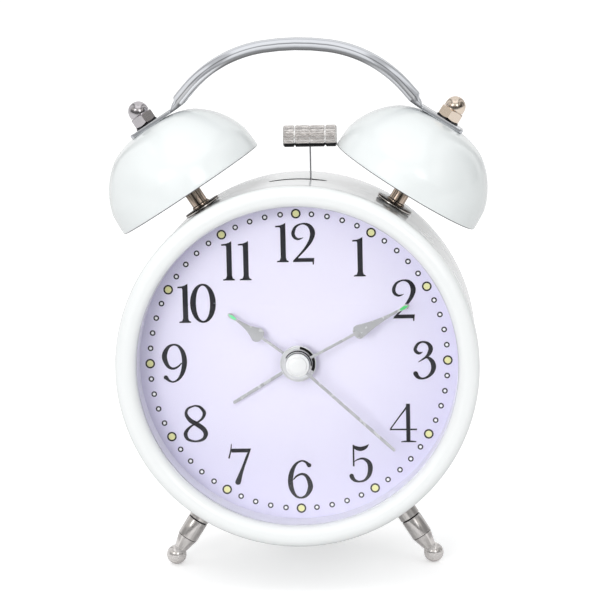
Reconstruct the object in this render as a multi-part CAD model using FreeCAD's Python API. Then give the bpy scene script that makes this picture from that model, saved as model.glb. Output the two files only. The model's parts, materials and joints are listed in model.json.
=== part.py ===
import FreeCAD, Part
import os
from math import atan2, cos, degrees, pi, radians, sin

# Twin-bell alarm clock, in millimetres.
# It is drawn upright about the centre of its dial: X to the right, Y into the case, Z up.
# Each piece is then leaned back and set down on the ball feet and the rear foot.

# Case, seen from the front
OPENING_R = 49.6
BEZEL_R = 56.15
BEZEL_FRONT = -15.0
DRUM_R = 55.6
DRUM_WALL = 0.8
SEAM = -8.4
DRUM_BACK = 45.2
COVER_BACK = 47.6
GLASS_FRONT = -11.4
GLASS_BACK = -9.7

# What stands on the drum: bells, hammer and legs share its middle plane
MID = 17.0
BELL_ANGLE = 32.7
BELL_RIM = 62.5
BELL_RIM_R = 25.35
BELL_HEIGHT = 23.6
BELL_WALL = 0.9
POST_R = 2.65
STUD_R = 1.95
STRAP = 1.2
LEG_ANGLE = 147.5
BALL_R = 3.15
BALL_OUT = 76.7

# Handle, measured on its outer edge
HANDLE_TOP = 100.1
CROWN_R = 75.0
CROWN_TURN = 8.0
SHOULDER_R = 41.0
HANDLE_SLOPE = 49.5
HANDLE_WIDTH = 9.0
HANDLE_HEIGHT = 4.0
HANDLE_WALL = 0.9

# Hammer
HAMMER_PIVOT_Z = 24.0
HEAD_X = 4.1
HEAD_Z = 69.1
HEAD_LENGTH = 16.8
HEAD_R = 3.43
WIRE_R = 0.4
CRANK_DROP = 12.8
CRANK_THROW = 1.2

# Hands: clock angle and length from the centre
MINUTE_HAND = (62.4, 39.3)
HOUR_HAND = (306.3, 26.8)
SECOND_HAND = (132.5, 40.3)
ALARM_HAND = (238.8, 24.0)

# Gear train: teeth, and the module of each pair
SECONDS_TEETH, SECONDS_PINION = 48, 8
FIFTH_TEETH, FIFTH_PINION = 30, 8
ROTOR_PINION = 6
THIRD_TEETH, THIRD_PINION = 60, 8
CENTRE_TEETH, CANNON_TEETH = 64, 12
MINUTE_TEETH, MINUTE_PINION = 36, 10
HOUR_TEETH = 40
SET_TEETH = 12
ALARM_TEETH, ALARM_PINION = 40, 16
CRANK_TEETH, MOTOR_PINION = 40, 10
MODULE_CENTRE = 0.24
MODULE_FIFTH = 0.30
MODULE_MOTION = 0.36
MODULE_ALARM = 0.35
MODULE_BELL = 0.32
THIRD_TURN, FIFTH_TURN, MINUTE_TURN, ALARM_TURN = 45.0, 135.0, 200.0, -20.0
MOTOR_TURN = 30.0

# Arbors and pipes, from the middle outwards, with their running clearance
PIVOT_R = 0.35
SECONDS_R = 0.45
MINUTE_PIPE_R = 1.1
HOUR_PIPE_R = 1.8
ALARM_PIPE_R = 2.5
SET_ARBOR_R = 1.2
RUN = 0.08

# Battery bay, for one AA cell
CELL_R = 7.1
CELL_LENGTH = 49.5
BAY_HALF = 29.0
BAY_TOP = -20.5
BAY_BOTTOM = -39.5
BAY_FLOOR = 28.5
DOOR_PIN_Y = 46.5
DOOR_PIN_Z = -38.3

# Standing: the case leans back on two balls and a foot
LEAN = 6.0
FOOT_HALF = 12.0
FOOT_Y = (41.0, COVER_BACK)
FLOOR_CENTRE_Y = 16.262

V = FreeCAD.Vector
CENTRE = V(0, 0, 0)
ALONG_DIAL_AXIS = V(0, 1, 0)
UP = V(0, 0, 1)
parts = {}


def edges_through(start, steps, at):
    """Lines, as (a, b), and arcs through a middle point, as (a, b, c, d)."""
    edges = []
    here = start
    for step in steps + [start]:
        there = step[-2:]
        if len(step) == 4:
            edges.append(Part.Arc(at(*here), at(*step[:2]), at(*there)).toShape())
        elif there != here:
            edges.append(Part.LineSegment(at(*here), at(*there)).toShape())
        here = there
    return edges


def face_of(start, steps, at):
    return Part.Face(Part.Wire(edges_through(start, steps, at)))


def turned(start, steps):
    """A turned piece on the dial's axis, from an outline of (radius, depth)."""
    return face_of(start, steps, lambda r, y: V(r, y, 0)).revolve(CENTRE, ALONG_DIAL_AXIS, 360)


def turned_stem(start, steps):
    """A turned piece on an upright stem, from an outline of (radius, distance out)."""
    return face_of(start, steps, lambda r, h: V(r, 0, h)).revolve(CENTRE, UP, 360)


def plate(start, steps, front, back):
    """A flat piece cut to an outline of (x, z)."""
    face = face_of(start, steps, lambda x, z: V(x, front, z))
    return face.extrude(V(0, back - front, 0))


def rod(x, z, radius, front, back):
    return Part.makeCylinder(radius, back - front, V(x, front, z), ALONG_DIAL_AXIS)


def rod_along_x(radius, half, y, z):
    return Part.makeCylinder(radius, 2 * half, V(-half, y, z), V(1, 0, 0))


def block(x0, x1, y0, y1, z0, z1):
    return Part.makeBox(x1 - x0, y1 - y0, z1 - z0, V(x0, y0, z0))


def rounded(x0, x1, z0, z1, front, back, corner):
    """A plate with round corners."""
    near = corner * (1 - cos(pi / 4))
    steps = [
        (x1 - corner, z0), (x1 - near, z0 + near, x1, z0 + corner),
        (x1, z1 - corner), (x1 - near, z1 - near, x1 - corner, z1),
        (x0 + corner, z1), (x0 + near, z1 - near, x0, z1 - corner),
        (x0, z0 + corner), (x0 + near, z0 + near, x0 + corner, z0),
    ]
    return plate((x0 + corner, z0), steps, front, back)


def joined(first, *others):
    shape = first.multiFuse(list(others)).removeSplitter()
    return shape.Solids[0] if len(shape.Solids) == 1 else shape


def less(shape, *tools):
    for tool in tools:
        shape = shape.cut(tool)
    return shape.Solids[0] if len(shape.Solids) == 1 else shape


def at_clock(shape, angle):
    """Turns a piece on the upright stem to a clock angle, in the drum's middle plane."""
    shape = shape.copy()
    shape.rotate(CENTRE, ALONG_DIAL_AXIS, angle)
    shape.translate(V(0, MID, 0))
    return shape


def mirrored(shape):
    return shape.mirror(CENTRE, V(1, 0, 0))


def hexagon(across_flats, bottom, top):
    corner = across_flats / 2 / cos(pi / 6)
    points = [V(corner * cos(k * pi / 3), corner * sin(k * pi / 3), bottom) for k in range(7)]
    return Part.Face(Part.makePolygon(points)).extrude(V(0, 0, top - bottom))


def stem_rod(radius, bottom, top):
    return Part.makeCylinder(radius, top - bottom, V(0, 0, bottom), UP)


def polar(distance, angle):
    return distance * cos(radians(angle)), distance * sin(radians(angle))


def meshing_axis(axis, direction, module, *teeth):
    """Axis of the gear that meshes with one on this axis, in a direction."""
    dx, dz = polar(module * sum(teeth) / 2, direction)
    return axis[0] + dx, axis[1] + dz


# Axes of the arbors, as (x, z)
DIAL_AXIS = (0.0, 0.0)
THIRD_AXIS = meshing_axis(DIAL_AXIS, THIRD_TURN, MODULE_CENTRE, CENTRE_TEETH, THIRD_PINION)
FIFTH_AXIS = meshing_axis(DIAL_AXIS, FIFTH_TURN, MODULE_FIFTH, SECONDS_TEETH, FIFTH_PINION)
ROTOR_AXIS = meshing_axis(FIFTH_AXIS, FIFTH_TURN, MODULE_FIFTH, FIFTH_TEETH, ROTOR_PINION)
MINUTE_AXIS = meshing_axis(DIAL_AXIS, MINUTE_TURN, MODULE_MOTION, CANNON_TEETH, MINUTE_TEETH)
SET_AXIS = meshing_axis(MINUTE_AXIS, MINUTE_TURN, MODULE_MOTION, MINUTE_TEETH, SET_TEETH)
ALARM_AXIS = meshing_axis(DIAL_AXIS, ALARM_TURN, MODULE_ALARM, ALARM_TEETH, ALARM_PINION)
CRANK_AXIS = (0.0, HAMMER_PIVOT_Z - CRANK_DROP)
MOTOR_AXIS = meshing_axis(CRANK_AXIS, MOTOR_TURN, MODULE_BELL, CRANK_TEETH, MOTOR_PINION)

# Two pairs of wheels share their axes with another pair, so their module follows from the distance
MODULE_THIRD = MODULE_CENTRE * (CENTRE_TEETH + THIRD_PINION) / (THIRD_TEETH + SECONDS_PINION)
MODULE_HOUR = MODULE_MOTION * (CANNON_TEETH + MINUTE_TEETH) / (HOUR_TEETH + MINUTE_PINION)


# Pressed steel ring, rolled over the front edge of the drum
def bezel_ring():
    lip = -11.9
    neck = DRUM_R - 0.55
    crest = 52.7
    steps = [
        (50.4, -14.0, crest, BEZEL_FRONT),
        (55.2, -14.05, BEZEL_R, -11.4),
        (BEZEL_R, SEAM - 0.05),
        (neck, SEAM - 0.05),
        (neck, -12.4),
        (crest + 0.8, -13.9),
        (51.6, -13.7),
        (50.9, lip + 0.4),
        (OPENING_R, lip + 0.4),
    ]
    return turned((OPENING_R, lip), steps)


def crystal_lens():
    edge, chamfer = 51.3, 0.3
    rim = [(edge - chamfer, GLASS_FRONT), (edge, GLASS_FRONT + chamfer), (edge, GLASS_BACK)]
    return turned((0, GLASS_FRONT), rim + [(0, GLASS_BACK)])


# White wall between the glass and the dial
def dial_shroud():
    front = GLASS_BACK + 0.05
    steps = [
        (53.9, front), (53.9, front + 1.2), (50.9, front + 1.2),
        (50.9, -1.4), (52.4, -1.4), (52.4, 0), (OPENING_R, 0),
    ]
    return turned((OPENING_R, front), steps)


def dial_plate():
    return less(turned((0, 0), [(53.4, 0), (53.4, 0.4), (0, 0.4)]), rod(0, 0, 4.1, -1, 1))


# Drum of thin sheet, stepped in at the front to carry the bezel
def case_drum():
    neck = DRUM_R - 0.65
    inner = DRUM_R - DRUM_WALL
    steps = [
        (neck, SEAM), (DRUM_R, SEAM), (DRUM_R, DRUM_BACK), (inner, DRUM_BACK),
        (inner, SEAM + DRUM_WALL), (neck - DRUM_WALL, SEAM + DRUM_WALL), (neck - DRUM_WALL, -11.0),
    ]
    drum = turned((neck, -11.0), steps)
    holes = [at_clock(stem_rod(STUD_R + 0.15, 50, 60), angle)
             for angle in (-BELL_ANGLE, BELL_ANGLE, -LEG_ANGLE, LEG_ANGLE)]
    half, reach = 2.0, 7.2
    end = reach + half
    outline = [(reach, -half), (end, 0, reach, half), (-reach, half), (-end, 0, -reach, -half)]
    slot = face_of((-reach, -half), outline, lambda x, y: V(x, MID + y, 50)).extrude(V(0, 0, 10))
    return less(drum, slot, *holes)


# Plate behind the dial, with the pillars that the rear cover is screwed to
PILLARS = [(side * 38.5, level) for side in (-1, 1) for level in (-27.0, 27.0)]
MOVEMENT_SCREWS = [(side * 22.3, level) for side in (-1, 1) for level in (-18.8, 26.3)]


def dial_carrier():
    disc = turned((0, 0.45), [(54.0, 0.45), (54.0, 2.05), (0, 2.05)])
    pillars = [rod(x, z, 3.2, 1.5, 43.0) for x, z in PILLARS]
    bores = [rod(x, z, 1.45, 27.0, 44.0) for x, z in PILLARS]
    small = [rod(x, z, 0.8, 0.9, 3.0) for x, z in MOVEMENT_SCREWS]
    return less(joined(disc, *pillars), rod(0, 0, 4.1, 0, 3), *bores, *small)


# Moulded rear cover: battery bay, wells for the knobs, slot for the switch, and the rear foot
WELL_R = 8.2
SWITCH_Z = 34.0
SWITCH_TRAVEL = 3.4


def floor_at(y):
    """Height of the table under depth y, in the upright frame."""
    ball = -BALL_OUT * cos(radians(180 - LEG_ANGLE))
    drop = MID * sin(radians(LEAN)) - ball * cos(radians(LEAN)) + BALL_R
    return (y * sin(radians(LEAN)) - drop) / cos(radians(LEAN))


def rear_cover():
    skirt = DRUM_R - DRUM_WALL - 0.15
    steps = [
        (53.8, COVER_BACK), (54.9, COVER_BACK - 0.4), (DRUM_R - 0.2, COVER_BACK - 1.5),
        (DRUM_R - 0.2, DRUM_BACK + 0.02), (skirt, DRUM_BACK + 0.02), (skirt, 39.0), (skirt - 1.4, 39.0),
        (skirt - 1.4, 45.6), (0, 45.6),
    ]
    shell = turned((0, COVER_BACK), steps)
    wall = 1.4
    bay = block(-BAY_HALF - wall, BAY_HALF + wall, BAY_FLOOR - wall, 46, BAY_BOTTOM - wall, BAY_TOP + wall)
    cups = [rod(x, z, WELL_R + 1.2, 42.2, 46) for x, z in (SET_AXIS, ALARM_AXIS)]
    bosses = [rod(x, z, 3.7, 43.05, 46) for x, z in PILLARS]
    foot_front, foot_back = FOOT_Y
    under = [(foot_back, -53.0), (foot_back, floor_at(foot_back)), (foot_front, floor_at(foot_front))]
    outline = face_of((foot_front, -53.0), under, lambda y, z: V(-FOOT_HALF, y, z))
    foot = outline.extrude(V(2 * FOOT_HALF, 0, 0)).cut(rod(0, 0, DRUM_R + 0.1, 30, DRUM_BACK + 0.02))
    cover = joined(shell, bay, foot, *cups, *bosses)
    cavity = block(-BAY_HALF, BAY_HALF, BAY_FLOOR, 50, BAY_BOTTOM, BAY_TOP)
    finger = rod(0, BAY_TOP + 1.0, 5.5, COVER_BACK - 1.2, 50)
    sockets = rod_along_x(0.68, BAY_HALF + 1.1, DOOR_PIN_Y, DOOR_PIN_Z)
    wells = [rod(x, z, WELL_R, 43.6, 50) for x, z in (SET_AXIS, ALARM_AXIS)]
    shafts = [rod(x, z, SET_ARBOR_R + 0.15, 40, 50) for x, z in (SET_AXIS, ALARM_AXIS)]
    screws = [rod(x, z, 1.6, 40, 50) for x, z in PILLARS] + [rod(x, z, 3.0, 45.9, 50) for x, z in PILLARS]
    slot = block(-4.2, 4.2, 44, 50, SWITCH_Z - 1.5, SWITCH_Z + 1.5)
    return less(cover, cavity, finger, sockets, slot, *wells, *shafts, *screws)


def rear_cover_screws():
    screws = []
    for x, z in PILLARS:
        head = rod(x, z, 2.7, 45.95, 47.3)
        shank = rod(x, z, 1.4, 29.0, 46.2)
        long, narrow = 1.6, 0.3
        cross = [block(x - a, x + a, 46.6, 48, z - b, z + b) for a, b in ((long, narrow), (narrow, long))]
        screws.append(less(joined(head, shank), *cross))
    return Part.makeCompound(screws)


def battery_door():
    half = BAY_HALF - 0.3
    thick = 0.9
    low = DOOR_PIN_Z
    top = BAY_TOP - 0.3
    inside, outside = DOOR_PIN_Y - thick, DOOR_PIN_Y + thick
    steps = [(inside, low), (DOOR_PIN_Y, low - thick, outside, low), (outside, top)]
    panel = face_of((inside, top), steps, lambda y, z: V(-half, y, z)).extrude(V(2 * half, 0, 0))
    pins = rod_along_x(0.6, half + 1.1, DOOR_PIN_Y, DOOR_PIN_Z)
    grip = [block(x - 0.5, x + 0.5, outside - 0.5, outside, low + 6, top - 3) for x in (-14, -7, 7, 14)]
    return less(joined(panel, pins), *grip)


def battery_cell():
    end = CELL_LENGTH / 2
    shoulder = end - 1.1
    cap_r = 2.75
    steps = [
        (CELL_R - 0.6, -end), (CELL_R, -end + 0.6), (CELL_R, shoulder - 0.5), (CELL_R - 0.5, shoulder),
        (cap_r, shoulder), (cap_r, end), (0, end),
    ]
    can = turned_stem((0, -end), steps)
    can.rotate(CENTRE, ALONG_DIAL_AXIS, 90)
    can.translate(V(0, 36.6, -30.0))
    return can


def battery_contact_plus():
    spring_leaf = block(CELL_LENGTH / 2 + 0.1, CELL_LENGTH / 2 + 0.5, 33.0, 40.2, -33.6, -26.4)
    tab = block(BAY_HALF - 0.6, BAY_HALF - 0.1, 31.0, 42.2, -35.6, -24.4)
    web = block(CELL_LENGTH / 2 + 0.1, BAY_HALF - 0.1, 40.2, 40.7, -33.6, -26.4)
    return joined(spring_leaf, web, tab)


# The negative contact bears on the cell through a coiled cone, drawn as its outer shape
def battery_contact_minus():
    tab = block(-BAY_HALF + 0.1, -BAY_HALF + 0.6, 31.0, 42.2, -35.6, -24.4)
    reach = BAY_HALF - CELL_LENGTH / 2 - 0.7
    cone = Part.makeCone(4.6, 2.6, reach, V(-BAY_HALF + 0.6, 36.6, -30.0), V(1, 0, 0))
    hollow = Part.makeCone(3.8, 1.8, reach, V(-BAY_HALF + 0.6, 36.6, -30.0), V(1, 0, 0))
    return joined(tab, cone.cut(hollow))


# Bells: spun steel, a nearly straight skirt, a round dome and a flat top for the strap
def bell():
    r, h, w = BELL_RIM_R, BELL_HEIGHT, BELL_WALL
    steps = [
        (r - 0.12, 0.3), (r, 1.3),
        (r - 0.35, 6.9),
        (21.75, 14.1, 15.0, 20.85),
        (10.4, 22.75, 5.0, h),
        (STUD_R + 0.15, h),
        (STUD_R + 0.15, h - w),
        (6.0, h - w),
        (14.4, 20.1),
        (18.6, 16.6),
        (22.4, 11.9),
        (r - 0.35 - w, 6.9),
        (r - w, 0),
    ]
    shell = turned_stem((r - 0.45, 0), steps)
    shell.translate(V(0, 0, BELL_RIM))
    return shell


STUD_START = 50.2
WASHER_TOP = DRUM_R + 1.05
STRAP_BOTTOM = BELL_RIM + BELL_HEIGHT
STRAP_TOP = STRAP_BOTTOM + STRAP
NUT_BASE = STRAP_TOP + 0.5


def bell_post():
    top = BELL_RIM + BELL_HEIGHT - BELL_WALL
    foot = POST_R + 0.35
    bore = STUD_R + 0.1
    foot_top = WASHER_TOP + 0.6
    steps = [(foot, WASHER_TOP), (foot, foot_top), (POST_R, foot_top + 0.3), (POST_R, top), (bore, top)]
    return turned_stem((bore, WASHER_TOP), steps)


def post_washer():
    low, high = DRUM_R + 0.03, WASHER_TOP
    bore, edge = STUD_R + 0.1, 6.05
    steps = [(edge - 0.15, low), (edge, low + 0.2), (edge, high - 0.2), (edge - 0.15, high), (bore, high)]
    return turned_stem((bore, low), steps)


def bell_stud():
    return stem_rod(STUD_R, STUD_START, NUT_BASE + 5.6)


def inner_nut():
    return hexagon(7.0, 51.2, 54.4).cut(stem_rod(STUD_R + 0.04, 50, 56))


def lock_washer():
    return stem_rod(3.75, STRAP_TOP, NUT_BASE).cut(stem_rod(STUD_R + 0.15, STRAP_TOP - 1, NUT_BASE + 1))


# Acorn nut: six flats with their corners turned off, and a dome
def acorn_nut():
    flats_top = NUT_BASE + 3.2
    flats = hexagon(7.0, NUT_BASE, flats_top)
    wide = 4.1
    foot_chamfer = [(3.6, NUT_BASE), (wide, NUT_BASE + 0.35)]
    top_chamfer = [(wide, flats_top - 0.5), (3.35, flats_top)]
    trim = turned_stem((0, NUT_BASE), foot_chamfer + top_chamfer + [(0, flats_top)])
    dome_r, dome_foot = 3.25, flats_top + 1.2
    dome = stem_rod(dome_r, flats_top - 0.3, dome_foot).fuse(Part.makeSphere(dome_r, V(0, 0, dome_foot)))
    bore = stem_rod(STUD_R + 0.04, NUT_BASE, NUT_BASE + 6.0)
    return less(joined(flats.common(trim), dome), bore)


# Carrying handle: a strip pressed to a half-round channel, its ends pinched flat under the nuts
def channel_section(half, height, inner_half, inner_height):
    """Crescent across the strip, in the (Y, Z) plane, on Z = 0."""
    steps = [(0, height, half, 0), (inner_half, 0), (0, inner_height, -inner_half, 0)]
    return Part.Wire(edges_through((-half, 0), steps, lambda y, z: V(0, y, z)))


def set_section(wire, x, z, slope):
    """Puts a section at a point of the strip's underside, square to its slope."""
    wire = wire.copy()
    wire.rotate(CENTRE, ALONG_DIAL_AXIS, slope)
    wire.translate(V(x, 0, z))
    return wire


def handle_half():
    half = HANDLE_WIDTH / 2
    section = channel_section(half, HANDLE_HEIGHT, half - HANDLE_WALL, HANDLE_HEIGHT - HANDLE_WALL)
    start = Part.Face(set_section(section, 0, HANDLE_TOP - HANDLE_HEIGHT, 0))
    crown_z = HANDLE_TOP - CROWN_R
    crown = start.revolve(V(0, 0, crown_z), ALONG_DIAL_AXIS, CROWN_TURN)
    turn = radians(CROWN_TURN)
    inset = CROWN_R - SHOULDER_R
    centre = V(inset * sin(turn), 0, crown_z + inset * cos(turn))
    begin = start.copy()
    begin.rotate(V(0, 0, crown_z), ALONG_DIAL_AXIS, CROWN_TURN)
    shoulder = begin.revolve(centre, ALONG_DIAL_AXIS, HANDLE_SLOPE - CROWN_TURN)
    under = SHOULDER_R - HANDLE_HEIGHT
    slope = radians(HANDLE_SLOPE)
    x, z = centre.x + under * sin(slope), centre.z + under * cos(slope)
    run = 4.0
    straight_face = Part.Face(set_section(section, x, z, HANDLE_SLOPE))
    straight = straight_face.extrude(V(run * cos(slope), 0, -run * sin(slope)))
    x, z = x + run * cos(slope), z - run * sin(slope)
    lean = radians(BELL_ANGLE)
    flat_start = -8.6
    fx = STRAP_BOTTOM * sin(lean) + flat_start * cos(lean)
    fz = STRAP_BOTTOM * cos(lean) - flat_start * sin(lean)
    pinch = Part.makeLoft([
        set_section(section, x, z, HANDLE_SLOPE),
        set_section(channel_section(4.9, 2.3, 4.2, 1.3), x * 0.54 + fx * 0.46, z * 0.52 + fz * 0.48, 40.0),
        set_section(channel_section(5.25, STRAP, 5.1, 0.02), fx, fz, BELL_ANGLE),
    ], True, False)
    end = 6.0
    corner = 3.0
    near = corner * (1 - cos(pi / 4))
    foot = face_of((flat_start, -5.25), [
        (end - corner, -5.25), (end - near, -5.25 + near, end, -5.25 + corner),
        (end, 5.25 - corner), (end - near, 5.25 - near, end - corner, 5.25), (flat_start, 5.25),
    ], lambda s, y: V(s, y, STRAP_BOTTOM)).extrude(V(0, 0, STRAP))
    foot = foot.cut(stem_rod(STUD_R + 0.25, STRAP_BOTTOM - 1, STRAP_TOP + 1))
    foot.rotate(CENTRE, ALONG_DIAL_AXIS, BELL_ANGLE)
    return [crown, shoulder, straight, pinch, foot]


def carry_handle():
    right = handle_half()
    pieces = right + [mirrored(piece) for piece in right]
    handle = joined(pieces[0], *pieces[1:])
    handle.translate(V(0, MID, 0))
    return handle


# Legs: turned steel, with a collar, a body that tapers to a neck, and a ball
def leg():
    neck = 2.0
    top = DRUM_R + 0.03
    groove = 63.5
    body_end = 69.8
    neck_at = BALL_OUT - (BALL_R ** 2 - neck ** 2) ** 0.5
    steps = [
        (3.35, top), (3.35, groove), (3.0, groove + 0.1), (3.0, groove + 0.5), (3.3, groove + 0.6),
        (3.3, body_end), (neck, neck_at), (BALL_R, BALL_OUT, 0, BALL_OUT + BALL_R),
        (0, STUD_START), (STUD_R, STUD_START),
    ]
    return turned_stem((STUD_R, top), steps)


# Hammer: a grooved head on a bent wire, in a lever that the crank swings
def swing_angle():
    return degrees(atan2(HEAD_X, HEAD_Z - HAMMER_PIVOT_Z))


def hammer_head():
    half = HEAD_LENGTH / 2
    chamfer, deep, wide = 0.45, 0.4, 0.35
    steps = [(HEAD_R - chamfer, -half), (HEAD_R, -half + chamfer)]
    for groove in (-4.8, 0, 4.8):
        steps += [(HEAD_R, groove - wide), (HEAD_R - deep, groove - wide / 2)]
        steps += [(HEAD_R - deep, groove + wide / 2), (HEAD_R, groove + wide)]
    steps += [(HEAD_R, half - chamfer), (HEAD_R - chamfer, half), (0, half)]
    head = turned_stem((0, -half), steps)
    head.rotate(CENTRE, ALONG_DIAL_AXIS, 90)
    head.translate(V(HEAD_X, MID, HEAD_Z))
    return less(head, Part.makeCylinder(WIRE_R + 0.04, 6.0, V(HEAD_X, MID, HEAD_Z - 4.0), UP))


WIRE_BEND_Z = 47.0
CLAMP_LOW, CLAMP_TOP = 8.0, 15.0


def wire_turn():
    return degrees(atan2(HEAD_X, WIRE_BEND_Z - HAMMER_PIVOT_Z))


def hammer_wire():
    turn = radians(wire_turn())
    bend = 6.0
    tangent = bend * (1 - cos(turn)) / sin(turn)
    low = V(CLAMP_LOW * sin(turn), MID, HAMMER_PIVOT_Z + CLAMP_LOW * cos(turn))
    before = V(HEAD_X - tangent * sin(turn), MID, WIRE_BEND_Z - tangent * cos(turn))
    after = V(HEAD_X, MID, WIRE_BEND_Z + tangent)
    half = turn / 2
    middle = V(HEAD_X - bend * (1 - cos(half)), MID, after.z - bend * sin(half))
    top = V(HEAD_X, MID, HEAD_Z + 1.8)
    path = Part.Wire([Part.LineSegment(low, before).toShape(), Part.Arc(before, middle, after).toShape(),
                      Part.LineSegment(after, top).toShape()])
    round_section = Part.Wire(Part.makeCircle(WIRE_R, low, before - low))
    return path.makePipeShell([round_section], True, False)


def hammer_lever():
    pivot = V(0, 0, HAMMER_PIVOT_Z)
    front, back = MID - 0.6, MID + 0.6
    hub = rod(0, HAMMER_PIVOT_Z, 3.0, front, back)
    clamp_end = HAMMER_PIVOT_Z + CLAMP_TOP
    taper = [(2.2, HAMMER_PIVOT_Z), (1.6, clamp_end), (-1.6, clamp_end)]
    arm = plate((-2.2, HAMMER_PIVOT_Z), taper, front, back)
    clamp = Part.makeCylinder(1.3, CLAMP_TOP - CLAMP_LOW, V(0, MID, HAMMER_PIVOT_Z + CLAMP_LOW), UP)
    bore = Part.makeCylinder(WIRE_R + 0.03, CLAMP_TOP, V(0, MID, HAMMER_PIVOT_Z + CLAMP_LOW), UP)
    upper = less(joined(arm, clamp), bore)
    upper.rotate(pivot, ALONG_DIAL_AXIS, wire_turn())
    tail_end = HAMMER_PIVOT_Z - CRANK_DROP - 2.6
    tail = block(-2.4, 2.4, front, back, tail_end, HAMMER_PIVOT_Z)
    half, slot_end = 0.8, tail_end + 4.2
    fork = [(half, tail_end - 1), (half, slot_end), (0, slot_end + half, -half, slot_end)]
    slot = plate((-half, tail_end - 1), fork, front - 1, back + 1)
    lower = tail.cut(slot)
    lower.rotate(pivot, ALONG_DIAL_AXIS, swing_angle())
    return less(joined(hub, upper, lower), rod(0, HAMMER_PIVOT_Z, 1.0 + RUN, front - 1, back + 1))


def hammer_pivot_pin():
    return rod(0, HAMMER_PIVOT_Z, 1.0, 15.3, 22.2)


def bell_bracket():
    front, back = 20.8, 22.2
    base = rounded(-14, 19.5, 3.0, 31.5, front, back, 3.0)
    legs = [rod(x, z, 1.8, 15.05, front + 0.5) for x in (-11.2, 16.7) for z in (6, 28.5)]
    axle = rod(*CRANK_AXIS, 1.0, 19.5, front + 0.5)
    motor_hole, pin_hole = rod(*MOTOR_AXIS, 2.2, 20, 23), rod(0, HAMMER_PIVOT_Z, 1.01, 20, 23)
    return less(joined(base, axle, *legs), motor_hole, pin_hole)


def bell_motor():
    x, z = MOTOR_AXIS
    can = rod(x, z, 8.0, 22.25, 39.0)
    flats = block(x - 9, x + 9, 22, 40, z - 6.6, z + 6.6)
    boss = rod(x, z, 2.1, 20.9, 23.0)
    end_cap = rod(x, z, 5.2, 38.5, 40.4)
    return less(joined(can.common(flats), boss, end_cap), rod(x, z, 0.5 + RUN, 20, 38))


# Gears: straight-sided teeth, thin enough to run free
def gear(teeth, module, phase, axis, front, back):
    pitch = 360.0 / teeth
    root, tip = module * (teeth / 2 - 1.25), module * (teeth / 2 + 0.85)
    points = []
    for k in range(teeth):
        middle = phase + k * pitch
        for radius, share in ((root, -0.29), (tip, -0.10), (tip, 0.10), (root, 0.29)):
            x, z = polar(radius, middle + share * pitch)
            points.append(V(axis[0] + x, front, axis[1] + z))
    return Part.Face(Part.makePolygon(points + points[:1])).extrude(V(0, back - front, 0))


def meshing_phase(phase, teeth, direction, other_teeth):
    """Phase of the gear that lies in a direction from one with this phase."""
    offset = phase - direction
    return direction + 180 - offset * teeth / other_teeth + 180.0 / other_teeth


# Depths of the gear planes, front to back
ALARM_PLANE = (4.0, 4.9)
HOUR_PLANE = (5.3, 6.3)
MOTION_PLANE = (6.7, 7.7)
CENTRE_PLANE = (8.2, 8.9)
THIRD_PLANE = (9.4, 10.1)
SECONDS_PLANE = (10.6, 11.3)
FIFTH_PLANE = (11.8, 12.5)
BACK_WALL = 13.6
MOVEMENT_WALL = 1.2
MOVEMENT_FRONT, MOVEMENT_SPLIT, MOVEMENT_BACK = 2.4, 9.0, 15.0


def arbor(axis, front, back):
    return rod(*axis, PIVOT_R, front, back)


def seconds_wheel():
    wheel = gear(SECONDS_TEETH, MODULE_FIFTH, 0, DIAL_AXIS, *SECONDS_PLANE)
    phase = meshing_phase(0, THIRD_TEETH, THIRD_TURN + 180, SECONDS_PINION)
    front, back = THIRD_PLANE[0] - 0.1, SECONDS_PLANE[0] + 0.1
    pinion = gear(SECONDS_PINION, MODULE_THIRD, phase, DIAL_AXIS, front, back)
    return joined(wheel, pinion, rod(0, 0, SECONDS_R, -7.4, 14.2))


def fifth_wheel():
    wheel = gear(FIFTH_TEETH, MODULE_FIFTH, 0, FIFTH_AXIS, *FIFTH_PLANE)
    phase = meshing_phase(0, SECONDS_TEETH, FIFTH_TURN, FIFTH_PINION)
    pinion = gear(FIFTH_PINION, MODULE_FIFTH, phase, FIFTH_AXIS, SECONDS_PLANE[0] - 0.1, FIFTH_PLANE[0] + 0.1)
    return joined(wheel, pinion, arbor(FIFTH_AXIS, 6.9, 14.2))


def rotor():
    phase = meshing_phase(0, FIFTH_TEETH, FIFTH_TURN, ROTOR_PINION)
    pinion = gear(ROTOR_PINION, MODULE_FIFTH, phase, ROTOR_AXIS, FIFTH_PLANE[0] - 0.1, FIFTH_PLANE[1] + 0.2)
    magnet = rod(*ROTOR_AXIS, 2.4, 8.6, 11.2)
    return joined(magnet, pinion, rod(*ROTOR_AXIS, 0.6, 11.0, FIFTH_PLANE[0]), arbor(ROTOR_AXIS, 6.9, 14.2))


def third_wheel():
    wheel = gear(THIRD_TEETH, MODULE_THIRD, 0, THIRD_AXIS, *THIRD_PLANE)
    phase = meshing_phase(0, CENTRE_TEETH, THIRD_TURN, THIRD_PINION)
    pinion = gear(THIRD_PINION, MODULE_CENTRE, phase, THIRD_AXIS, CENTRE_PLANE[0] - 0.1, THIRD_PLANE[0] + 0.1)
    return joined(wheel, pinion, arbor(THIRD_AXIS, 6.9, 14.2))


def centre_wheel():
    wheel = gear(CENTRE_TEETH, MODULE_CENTRE, 0, (0, 0), *CENTRE_PLANE)
    return less(wheel, rod(0, 0, MINUTE_PIPE_R + RUN, 8, 10))


def cannon_pinion():
    phase = meshing_phase(0, MINUTE_TEETH, MINUTE_TURN + 180, CANNON_TEETH)
    pinion = gear(CANNON_TEETH, MODULE_MOTION, phase, (0, 0), MOTION_PLANE[0] - 0.1, MOTION_PLANE[1] + 0.1)
    tube = rod(0, 0, MINUTE_PIPE_R, -5.5, 9.1)
    return less(joined(pinion, tube), rod(0, 0, SECONDS_R + RUN, -6, 10))


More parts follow.
